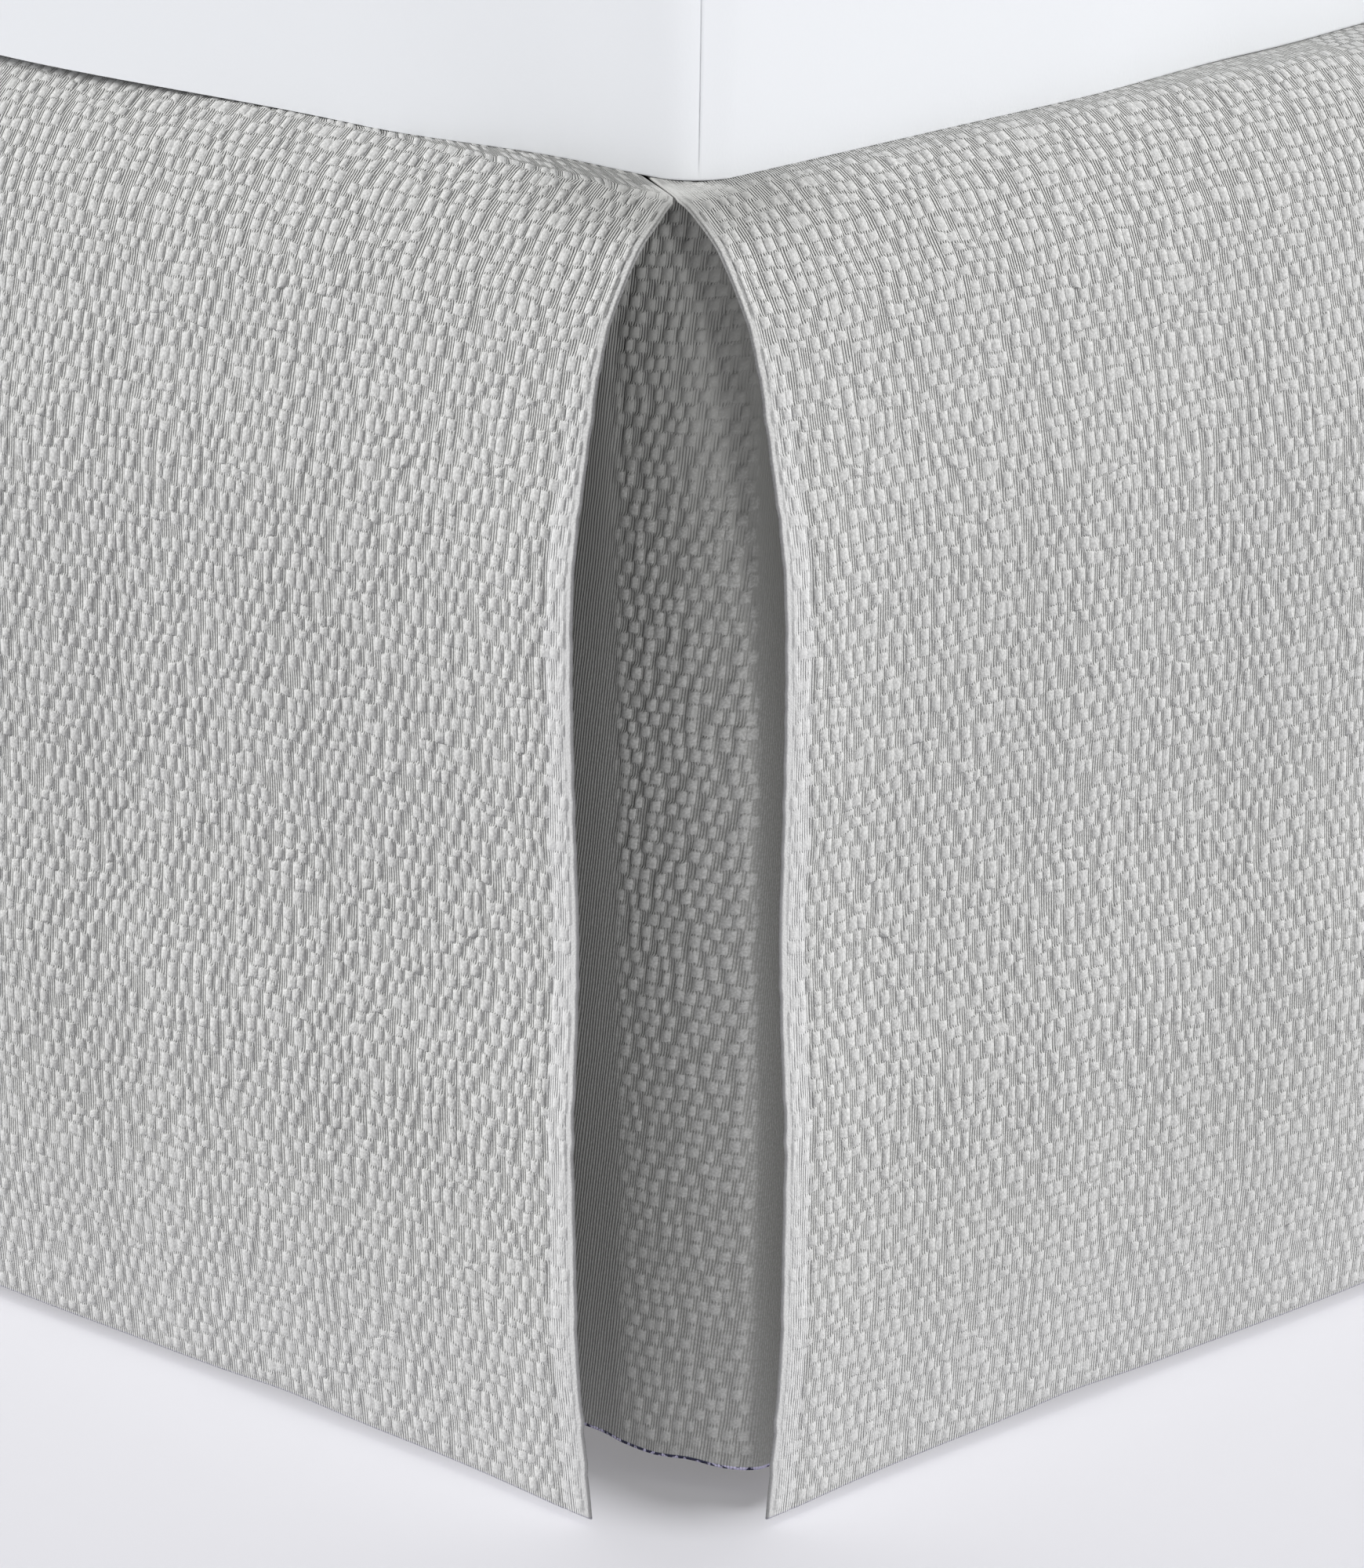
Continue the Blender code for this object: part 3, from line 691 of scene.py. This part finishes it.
def ribs(tree, place, along):
    """Fine ribs that run down the cloth, 0 to 1."""
    sway = tree.noise(tree.stretched(place, SWAY_SCALE), 1, 1)
    turn = tree.product(along, 2 * math.pi * MM / RIB_PITCH)
    rib = tree.math("SINE", tree.more(sway, RIB_SWAY, turn))
    return tree.more(rib, 0.5, 0.5)


def hemmed(tree, place, along, down, base, doubled_and_lit_colour, finish):
    """Base colour, paler at the doubled edges by painted light, and painted shade in bits along the
    hem's rolled edge.
    """
    # painted light: paler near the split and above the hem
    doubled = tree.math("MAXIMUM", tree.smooth(along, *SIDE_HEM_FADE),
                        tree.product(tree.smooth(down, *HEM_FADE), HEM_SHARE))
    doubled = tree.product(doubled, tree.smooth(down, *DOUBLED_LIT_FADE), DOUBLED_LIT_SHARE)
    base = tree.blend(doubled, base, doubled_and_lit_colour)
    shade_bits = tree.noise(place, 1 / HEM_SHADE_BITS, 1)
    # painted shade along the hem's rolled-under edge, in broken bits
    hem_shade = tree.blend(tree.smooth(shade_bits, *HEM_SHADE_BIT_SHARES), *finish.hem_colours)
    return tree.blend(tree.smooth(down, *finish.hem_fade), base, hem_shade)


def matelasse(name, colours, far, finish):
    """Woven cotton with raised puffs among fine ribs; far from the split the puffs are bump.

    finish holds, in millimetres along and down the cloth, where painted shade shows along the hem's
    rolled edge and in which colours, and where painted shade darkens it by a share of the groove
    colour.
    """
    tree = Tree(name)
    place = tree.attribute("cloth")
    parts = tree.parts(place)
    along, down = (tree.product(parts[axis], 1 / MM) for axis in ("X", "Y"))
    if far:
        warp = tree.parts(tree.noise(place, 1 / FAR_WARP_LENGTH, 1, "Color"))
        along = tree.strayed(along, warp["X"], FAR_WARP)
        down = tree.strayed(down, warp["Y"], FAR_WARP)
        puff, relief = far_puffs(tree, along, down), FAR_RELIEF
    else:
        puff, relief = near_puffs(tree, place), CRISP_RELIEF
    rib = ribs(tree, place, along)
    low = tree.product(tree.smooth(puff, RIB_LOW, 0), tree.smooth(along, *EDGE_FADE))
    gain = tree.smooth(down, *RIB_TOP_FADE, 1, 1 + RIB_TOP_GAIN)
    threads = tree.noise(place, 1 / THREAD)
    height = tree.more(puff, relief / MM, tree.product(rib, low, RIB_RELIEF / MM, gain))
    tree.bump(tree.more(threads, FUZZ / MM, height), MM)
    # painted shade between the ribs and at the feet of puffs; the threads' grain follows
    groove = tree.product(tree.math("SUBTRACT", 1, rib), low)
    shade_and_grain = tree.more(groove, RIB_SHADE, tree.product(low, FOOT_SHADE))
    shade_and_grain = tree.more(tree.smooth(threads, *THREAD_CUT), THREAD_SHADE, shade_and_grain)
    # painted shade: darker near the panels' apex and towards the insert's top
    painted_shade = tree.product(tree.smooth(along, *finish.dark_along), tree.smooth(down, *finish.dark_down))
    shade_and_grain = tree.more(painted_shade, finish.dark_share, shade_and_grain)
    base = tree.blend(tree.noise(place, 1 / BROAD_LENGTH), colours.dim, colours.bright)
    base = tree.blend(shade_and_grain, base, colours.groove)
    base = hemmed(tree, place, along, down, base, colours.doubled, finish)
    return tree.finish(base, CLOTH_SURFACE)


# ---- the corner inserts ----
# millimetres at the skirt's corner: across it, how far out at three heights, and the hem's height
Fold = namedtuple("Fold", "across top middle hem hem_height")
INSERT_FOLDS = (
    Fold(-72, -77, -74, -73, 8), Fold(-43, -47, -44, -43, 9), Fold(-24, -30, -28, -27, 8.5),
    Fold(-16, -26, -21.5, -19, 7.5), Fold(-7, -21.5, -13.5, -12.5, 6.6), Fold(3, -19.5, -6, -7.5, 7),
    Fold(12, -21.5, -1.5, -4, 6), Fold(20, -26, 1, -2, 6), Fold(26, -31, -3, -5, 6),
    Fold(35, -40, -19, -18, 6), Fold(50, -55, -44, -43, 7), Fold(75, -80, -74, -75, 8),
)
INSERT_TOP = 0.378
INSERT_MIDDLE = 0.2
INSERT_LEAN = 0.14  # the weave leans this much across for each unit down
INSERT_LEAN_FADE = 0.03  # except near its two ends
INSERT_RELIEF = 0.00125
INSERT_PUFFS_START = (0.072, 0.08)  # the wing left of them is plain
INSERT_PUFFS_END = (0.118, 0.124)
INSERT_HEM_FADE = (0.003, 0.012)  # shares of its height
INSERT_FLATNESS = 0.6  # its puffs lose this share low down
INSERT_FLAT_FADE = (0.45, 0.85)  # shares of the way down it
INSERT_SHADE_TONE = 0.665  # its colour, as a share of the panels': painted shade, as it lies in shade behind them
INSERT_SEED = 7
PLAIN_COLUMN = 0.004  # one column of the mesh without puffs
FOLD_SAMPLES = 1200  # its folds are measured at this many places
FOLD_SHARE = 0.55  # and at this share of the way down


def smooth_table(values, places):
    """A smooth line through a short table's values, read at places counted in its rows."""
    values = np.array(values, float)
    number = np.clip(np.floor(places).astype(int), 0, len(values) - 2)
    t = places - number
    before = values[np.maximum(number - 1, 0)]
    first, second = values[number], values[number + 1]
    after = values[np.minimum(number + 2, len(values) - 1)]
    slope_in, slope_out = 0.5 * (second - before), 0.5 * (after - first)
    return (first * (2 * t ** 3 - 3 * t ** 2 + 1) + second * (3 * t ** 2 - 2 * t ** 3)
            + slope_in * (t ** 3 - 2 * t ** 2 + t) + slope_out * (t ** 3 - t ** 2))


def insert_points(places, share):
    """(across, out, height) of an insert's face at places in its folds and a share down it."""
    fold = Fold(*(smooth_table(values, places) * MM for values in zip(*INSERT_FOLDS)))
    height = INSERT_TOP + share * (fold.hem_height - INSERT_TOP)
    upper = between(height, INSERT_MIDDLE, INSERT_TOP)
    lower = between(height, 0, INSERT_MIDDLE)
    out = np.where(height > INSERT_MIDDLE, fold.middle + upper * (fold.top - fold.middle),
                   fold.hem + lower * (fold.middle - fold.hem))
    return np.stack((fold.across + 0 * height, out, height), axis=-1)


def build_insert(name, hand, fine, looks):
    table = np.linspace(0, len(INSERT_FOLDS) - 1, FOLD_SAMPLES)
    middle = insert_points(table[:, None], np.array([[FOLD_SHARE]]))[:, 0]
    length = np.concatenate(([0], np.cumsum(np.linalg.norm(np.diff(middle, axis=0), axis=1))))
    columns = int(length[-1] / (COLUMN if fine else PLAIN_COLUMN) / BLOCK) * BLOCK + 1
    across = np.linspace(0, length[-1], columns)
    rows = round(INSERT_TOP / ROW_PITCH) // BLOCK * BLOCK
    lines = np.add.outer(np.arange(rows), np.array(ROW_LINES)).ravel() / rows
    share = np.concatenate((lines, [1]))
    weave = weave_lines(columns, rows, INSERT_SEED)
    inner = between(across, 0, INSERT_LEAN_FADE) * (
        1 - between(across, length[-1] - INSERT_LEAN_FADE, length[-1]))
    lean = INSERT_LEAN * INSERT_TOP * (share[None, :] - 0.5) * inner[:, None]
    wide = np.clip(across[:, None] - lean, 0, length[-1])
    fade = between(wide, *INSERT_PUFFS_START) * (1 - between(wide, *INSERT_PUFFS_END))
    fade = fade * between(1 - share, *INSERT_HEM_FADE)[None, :] * (1 if fine else 0)
    fade = fade * (1 - INSERT_FLATNESS * between(share, *INSERT_FLAT_FADE))[None, :]
    tall = np.clip(share[None, :] + fade * weave.lift / INSERT_TOP, 0, 1)
    local = insert_points(np.interp(wide, length, table), tall)
    corner = np.array((hand * RIGHT, FOOT, 0))
    out_way = np.array((hand, -1, 0)) / math.sqrt(2)
    across_way = np.array((hand, 1, 0)) / math.sqrt(2)
    base = (corner + local[..., :1] * across_way + local[..., 1:2] * out_way
            + local[..., 2:] * np.array((0, 0, 1)))
    normal, turned = facing(base, out_way, (columns // 2, len(share) // 2))
    front = base + normal * (INSERT_RELIEF * fade * weave.height)[..., None]
    back = base - normal * CLOTH
    puffs = weave.corners
    puffs[..., 2] *= fade[:-1, :-1, None]
    sides = (front, back, turned)
    item = hang_cloth(name, across, share * INSERT_TOP, sides, columns - 1, puffs, looks)
    return item


# ---- the mattress ----
MATTRESS_HEIGHT = 0.25
SHEET_GAP = 0.0001  # the cover lies down on the panels' strips
MATTRESS_CORNER = 0.024
MATTRESS_TOP_ROUND = 0.04
MATTRESS_CROWN = 0.004
CORNER_TOP_SHARE = 0.42  # share of the top's round that its corners keep
CORNER_TOP_REACH = 0.12  # it is whole again this far along a side
MATTRESS_SWELL = 0.005
EDGE_KEPT = 0.15  # share of the model's lower round that the cover keeps
EDGE_DRAW = 0.85  # and it draws in by this share of what it loses
CREASE_SHARE = 0.61  # a corner's fold: this share of the way round it
CREASE_STEPS = (-0.055, -0.016, 0, 0.012, 0.03)
CREASE_DEPTHS = (0, 0.0003, 0.0007, 0.0001, 0)
CREASE_START = (-0.05, 0.05)  # shares of the side's height where it deepens
Edge = namedtuple("Edge", "along bow round")
RIGHT_EDGE = (
    Edge(0, -0.0035, 0.0045), Edge(0.16, -0.0045, 0.005), Edge(0.25, -0.0085, 0.008),
    Edge(0.34, -0.0125, 0.011), Edge(0.55, -0.009, 0.01), Edge(0.9, -0.004, 0.007),
    Edge(1.4, -0.006, 0.008), Edge(1.91, -0.005, 0.006),
)
LEFT_EDGE = (
    Edge(0, -0.004, 0.005), Edge(0.4, -0.003, 0.006), Edge(1, 0.001, 0.005),
    Edge(1.5, -0.005, 0.007), Edge(1.91, -0.005, 0.006),
)
FOOT_EDGE = (
    Edge(0, -0.006, 0.0045), Edge(0.05, -0.0055, 0.004), Edge(0.13, 0.005, 0.0025),
    Edge(0.27, 0.0145, 0.0018), Edge(0.5, 0.0155, 0.002), Edge(0.75, 0.009, 0.0035),
    Edge(0.93, -0.005, 0.0045), Edge(1, -0.006, 0.005),
)
HEAD_EDGE = (Edge(0, -0.005, 0.006), Edge(0.5, -0.004, 0.006), Edge(1, -0.005, 0.006))
SIDE_STEP = 0.01
CORNER_STEPS = 14
ROUND_STEPS = 8
FACE_STEPS = 20
TOP_STEPS = 40


def edge_at(edges, along):
    """Bows and roundings of the mattress's lower edge at distances along one side."""
    table = np.array(edges)
    places, values = table[:, 0], table[:, 1:]
    number = np.clip(np.searchsorted(places, along, side="left") - 1, 0, len(edges) - 2)
    blend = between(along, places[number], places[number + 1])[:, None]
    return (values[number] + blend * (values[number + 1] - values[number])).T


def turned_round(edges, length):
    """The same edge, measured from the other end of its side."""
    return tuple(Edge(length - edge.along, edge.bow, edge.round) for edge in reversed(edges))


Rim = namedtuple("Rim", "points ways bows rounds depths tops")


def corner_rim():
    """Shares of the way round a corner, and the crease's depth there."""
    even = np.arange(1, CORNER_STEPS) / CORNER_STEPS
    crease = CREASE_SHARE + np.array(CREASE_STEPS)
    even = even[(even < crease[0]) | (even > crease[-1])]
    share = np.sort(np.concatenate((even, crease)))
    return share, np.interp(share, crease, CREASE_DEPTHS)


def mattress_outline():
    """Points round the mattress, their outward ways, bows, roundings, creases and top rounds."""
    half_x, half_y = 0.5 * SKIRT_WIDTH, 0.5 * SKIRT_LENGTH - HEAD_SETBACK
    right, left, head, foot = (np.array(way, float) for way in ((1, 0), (-1, 0), (0, 1), (0, -1)))
    wide, long = 2 * half_x, 2 * half_y
    sides = (
        ((half_x, -half_y), head, right, long, RIGHT_EDGE),
        ((half_x, half_y), left, head, wide, HEAD_EDGE),
        ((-half_x, half_y), foot, left, long, turned_round(LEFT_EDGE, long)),
        ((-half_x, -half_y), right, foot, wide, turned_round(FOOT_EDGE, wide)),
    )
    share, crease = corner_rim()
    turn = 0.5 * math.pi * share[:, None]
    rims = []
    for index, (start, run, outward, length, edges) in enumerate(sides):
        count = round((length - 2 * MATTRESS_CORNER) / SIDE_STEP)
        along = np.linspace(MATTRESS_CORNER, length - MATTRESS_CORNER, count + 1)
        from_corner = np.minimum(along, length - along) - MATTRESS_CORNER
        ease = CORNER_TOP_SHARE + (1 - CORNER_TOP_SHARE) * between(
            from_corner, 0, CORNER_TOP_REACH)
        rims.append(Rim(np.array(start) + run * along[:, None],
                        np.repeat(outward[None], count + 1, axis=0), *edge_at(edges, along),
                        np.zeros(count + 1), MATTRESS_TOP_ROUND * ease))
        here = edge_at(edges, np.array([length]))
        there = edge_at(sides[(index + 1) % len(sides)][-1], np.array([0]))
        way = outward * np.cos(turn) + run * np.sin(turn)
        centre = np.array(start) + run * (length - MATTRESS_CORNER) - outward * MATTRESS_CORNER
        rims.append(Rim(centre + way * MATTRESS_CORNER, way, *(here + share * (there - here)),
                        crease, np.full(len(share), MATTRESS_TOP_ROUND * CORNER_TOP_SHARE)))
    return Rim(*(np.concatenate(group) for group in zip(*rims)))


def mattress_rings():
    """Rings of points from under the mattress, over its sides, to the middle of its top."""
    points, ways, bows, rounds, depths, tops = mattress_outline()
    bows = bows - EDGE_DRAW * (1 - EDGE_KEPT) * rounds
    rounds = rounds * EDGE_KEPT
    bottom, top = SKIRT_TOP + SHEET_GAP, SKIRT_TOP + LIE_GAP + MATTRESS_HEIGHT
    rings = []

    def add(outset, height):
        flat = points + ways * np.reshape(outset, (-1, 1))
        rings.append(np.column_stack((flat, np.broadcast_to(height, len(flat)))))

    for turn in np.linspace(0, 0.5 * math.pi, ROUND_STEPS + 1):
        add(bows - rounds * (1 - math.sin(turn)), bottom + rounds * (1 - math.cos(turn)))
    start, end = rings[-1][:, 2], top - tops
    for share in np.arange(1, FACE_STEPS) / FACE_STEPS:
        swell = MATTRESS_SWELL * math.sin(math.pi * share) - depths * between(share, *CREASE_START)
        add(bows * (1 - share) - HEAD_SETBACK * share + swell, start + share * (end - start))
    for turn in np.linspace(0, 0.5 * math.pi, ROUND_STEPS + 1):
        add(-HEAD_SETBACK - tops * (1 - math.cos(turn)) - depths * math.cos(turn),
            top - tops * (1 - math.sin(turn)))
    outer, half = rings[-1], 0.5 * (SKIRT_LENGTH - SKIRT_WIDTH)
    spine = np.column_stack((0 * outer[:, 0], np.clip(outer[:, 1], -half, half)))
    for share in np.linspace(0, 1, TOP_STEPS + 1)[1:-1]:
        flat = outer[:, :2] + share * (spine - outer[:, :2])
        rise = MATTRESS_CROWN * (1 - (1 - share) ** 2)
        rings.append(np.column_stack((flat, np.full(len(flat), top + rise))))
    return rings


def build_mattress():
    rings = mattress_rings()
    count = len(rings[0])
    points = np.concatenate(rings)
    points[:, 1] += BED_SHIFT
    faces = [list(range(count))[::-1]]
    for number in range(len(rings) - 1):
        low = number * count
        for j in range(count):
            k = (j + 1) % count
            faces.append([low + j, low + k, low + count + k, low + count + j])
    faces.append([(len(rings) - 1) * count + j for j in range(count)])
    mesh = bpy.data.meshes.new("mattress_sheet")
    mesh.from_pydata(points.tolist(), [], faces)
    mesh.shade_smooth()
    item = put("mattress_sheet", mesh)
    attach(item, "root")
    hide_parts("mattress")
    return item


SHEET_SURFACE = Surface(0.8, 0.05, 0.2)
SHEET_COLOURS = ((0.74, 0.755, 0.775, 1), (0.76, 0.775, 0.795, 1))
SHEET_BROAD_SCALE = 3
SHEET_WEAVE_SCALE = 900
SHEET_WEAVE_HEIGHT = 0.04  # millimetres
SHEET_FOLD_SCALE = 5
SHEET_FOLD_HEIGHT = 3  # millimetres


def fitted_sheet():
    tree = Tree("fitted_sheet")
    place = tree.place()
    weave = tree.noise(place, SHEET_WEAVE_SCALE)
    folds = tree.noise(place, SHEET_FOLD_SCALE)
    tree.bump(tree.more(folds, SHEET_FOLD_HEIGHT, tree.product(weave, SHEET_WEAVE_HEIGHT)), MM)
    broad = tree.noise(place, SHEET_BROAD_SCALE)
    return tree.finish(tree.blend(broad, *SHEET_COLOURS), SHEET_SURFACE)


# ---- platform, base and legs ----
Plain = namedtuple("Plain", "name colours scale stretch detail relief surface")
PLAIN_SURFACE = Surface(0.9, 0.05, 0.2)
BASE_COVER = Plain("base_cover_weave", ((0.27, 0.26, 0.24, 1), (0.35, 0.34, 0.315, 1)),
                   500, (1, 1, 1), 3, 0.00025, PLAIN_SURFACE)
PLATFORM = Plain("platform_weave", ((0.76, 0.75, 0.72, 1), (0.84, 0.83, 0.8, 1)),
                 700, (1, 1, 1), 3, 0.00025, PLAIN_SURFACE)
STAINED_WOOD = Plain("stained_wood", ((0.05, 0.028, 0.015, 1), (0.16, 0.09, 0.05, 1)),
                     3, (60, 60, 5), 5, 0.0002, Surface(0.4, 0, 0.5))


def plain_material(plain):
    """A noise of threads or of grain, in the material's two colours and as a low relief."""
    tree = Tree(plain.name)
    place = tree.stretched(tree.place(), plain.stretch)
    grain = tree.noise(place, plain.scale, plain.detail)
    tree.bump(grain, plain.relief)
    return tree.finish(tree.blend(grain, *plain.colours), plain.surface)


def dress_bed():
    for start, plain in (("bed_base", BASE_COVER), ("platform_sheet", PLATFORM),
                         ("bed_leg", STAINED_WOOD)):
        material = plain_material(plain)
        for name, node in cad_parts.items():
            if name.startswith(start):
                for slot in node.material_slots:
                    slot.material = material


# ---- stage, light and camera ----
VIEW_TURN = 45  # degrees; the camera looks straight at the corner
CAMERA_OUT = 2.0945  # from the skirt's corner, along the ground
CAMERA_HEIGHT = 0.8638
CAMERA_PITCH = 17.25  # degrees
LENS = 180
SHIFT = 0.002
CLIP_START = 0.05


def build_camera():
    camera = put("camera", bpy.data.cameras.new("camera"))
    camera.data.lens = LENS
    camera.data.shift_x = SHIFT
    step = CAMERA_OUT / math.sqrt(2)
    camera.location = (RIGHT + step, FOOT - step, CAMERA_HEIGHT)
    camera.rotation_euler = (math.radians(90 - CAMERA_PITCH), 0, math.radians(VIEW_TURN))
    camera.data.clip_start = CLIP_START
    bpy.context.scene.camera = camera


# way and reach: from the corner to the lamp; light: what arrives there; lights: the lit group
Lamp = namedtuple("Lamp", "name way reach size light lights casts_shadow", defaults=(True,))
LAMPS = (
    Lamp("left_box", (-0.835, -0.404, 0.375), 12, 4.2, 6.9, "panels"),
    Lamp("right_box", (0.404, 0.835, 0.375), 12, 4.2, 6.9, "panels"),
    Lamp("front_fill", (0.79, -0.57, 0.2), 4, 2, 0.4, "panels"),
    Lamp("slot_box", (0.79, -0.456, 0.41), 4, 0.4, 1.3, "insert"),
    Lamp("slot_low_box", (0.64, -0.64, -0.42), 0.5, 0.3, 1.9, "insert"),
    Lamp("slot_side_box", (0.94, 0.257, 0.225), 4, 0.8, 1.5, "insert", False),
    Lamp("far_side_box", (-0.8, 0.35, 0.49), 12, 4.2, 3, "others"),
    Lamp("head_box", (-0.1, 0.865, 0.49), 12, 4.2, 3, "others"),
    Lamp("far_sheet_box", (-0.86, 0.41, 0.3), 12, 4.2, 1.4, "mattress"),
    Lamp("head_sheet_box", (-0.1, 0.95, 0.3), 12, 4.2, 1.4, "mattress"),
    Lamp("left_sheet_box", (-0.26, -0.966, 0.2), 4, 2.5, 2.6, "mattress"),
    Lamp("right_sheet_box", (0.966, 0.26, 0.2), 4, 2.5, 3, "mattress"),
)
Wash = namedtuple("Wash", "name light colour casts_shadow")
FLOOR_WASHES = (
    Wash("floor_wash", 1.45, (0.98, 0.98, 1), True),
    Wash("floor_fill", 0.9, (1, 0.985, 0.97), False),
)
FLOOR_LIGHT_SPREAD = 3  # degrees
FLOOR_LIGHT_TILT = 3.6  # degrees from upright
WORLD_LIGHT = 0.14
WORLD_COLOUR = (0.97, 0.98, 1, 1)
TARGET_HEIGHT = 0.25  # the lamps point at the corner, this far up
FLOOR_HALF = 40
FLOOR_COLOUR = (0.79, 0.79, 0.825, 1)
FLOOR_SURFACE = Surface(0.9, 0, 0.1)


def receivers(name, items, included):
    """A collection that a lamp lights, or leaves out."""
    group = bpy.data.collections.new(name)
    for item in items:
        group.objects.link(item)
    for member in group.collection_objects:
        member.light_linking.link_state = "INCLUDE" if included else "EXCLUDE"
    return group


def put_lamp(lamp, kind, energy):
    light = bpy.data.lights.new(lamp.name, kind)
    light.energy = energy
    light.use_shadow = lamp.casts_shadow
    return put(lamp.name, light)


def build_lights(floor, mattress, insert, panels):
    target = Vector((RIGHT, FOOT, TARGET_HEIGHT))
    in_photo = panels[:2]
    groups = {"panels": receivers("panels_lit", in_photo, True),
              "mattress": receivers("mattress_lit", (mattress,), True),
              "insert": receivers("insert_lit", (insert,), True),
              "others": receivers("others_lit", (floor, insert, mattress, *in_photo), False)}
    for lamp in LAMPS:
        item = put_lamp(lamp, "AREA", lamp.light * math.pi * lamp.reach ** 2)
        item.data.size = lamp.size
        item.location = target + lamp.reach * Vector(lamp.way)
        item.rotation_euler = (target - item.location).to_track_quat("-Z", "Y").to_euler()
        item.light_linking.receiver_collection = groups[lamp.lights]
    floor_lit = receivers("floor_lit", (floor,), True)
    floor_shaded = receivers("floor_shaded", panels, False)
    for wash in FLOOR_WASHES:
        item = put_lamp(wash, "SUN", wash.light)
        item.data.color = wash.colour
        item.data.angle = math.radians(FLOOR_LIGHT_SPREAD)
        item.rotation_euler = (-math.radians(FLOOR_LIGHT_TILT), 0, math.radians(VIEW_TURN))
        item.light_linking.receiver_collection = floor_lit
        item.light_linking.blocker_collection = floor_shaded
    world = bpy.data.worlds.new("studio")
    world.use_nodes = True
    background = world.node_tree.nodes["Background"]
    background.inputs["Color"].default_value = WORLD_COLOUR
    background.inputs["Strength"].default_value = WORLD_LIGHT
    bpy.context.scene.world = world


def build_floor():
    mesh = bpy.data.meshes.new("floor")
    ways = ((-1, -1), (1, -1), (1, 1), (-1, 1))
    mesh.from_pydata([(x * FLOOR_HALF, y * FLOOR_HALF, 0) for x, y in ways], [], [(0, 1, 2, 3)])
    mesh.materials.append(Tree("pale_floor").finish(FLOOR_COLOUR, FLOOR_SURFACE))
    item = put("floor", mesh)
    return item


def toned(colours, tone):
    """The same colours, each darker by one share."""
    return Colours(*((*(tone * part for part in colour[:3]), colour[3]) for colour in colours))


def main():
    looks = (matelasse("matelasse", CLOTH_COLOURS, False, PANEL_FINISH),
             matelasse("matelasse_far", toned(CLOTH_COLOURS, FAR_TONE), True, PANEL_FINISH))
    # painted shade: the insert's colours are the panels' darkened
    shaded = toned(CLOTH_COLOURS, INSERT_SHADE_TONE)
    insert_looks = (matelasse("matelasse_insert", shaded, False, INSERT_FINISH),
                    matelasse("matelasse_insert_far", shaded, True, INSERT_FINISH))
    panels = [build_panel(panel, looks) for panel in PANELS]
    insert = build_insert("corner_insert_right", 1, True, insert_looks)
    build_insert("corner_insert_left", -1, False, insert_looks)
    mattress = build_mattress()
    mattress.data.materials.append(fitted_sheet())
    dress_bed()
    build_camera()
    build_lights(build_floor(), mattress, insert, panels)
    bpy.context.scene.view_settings.view_transform = "Standard"


main()
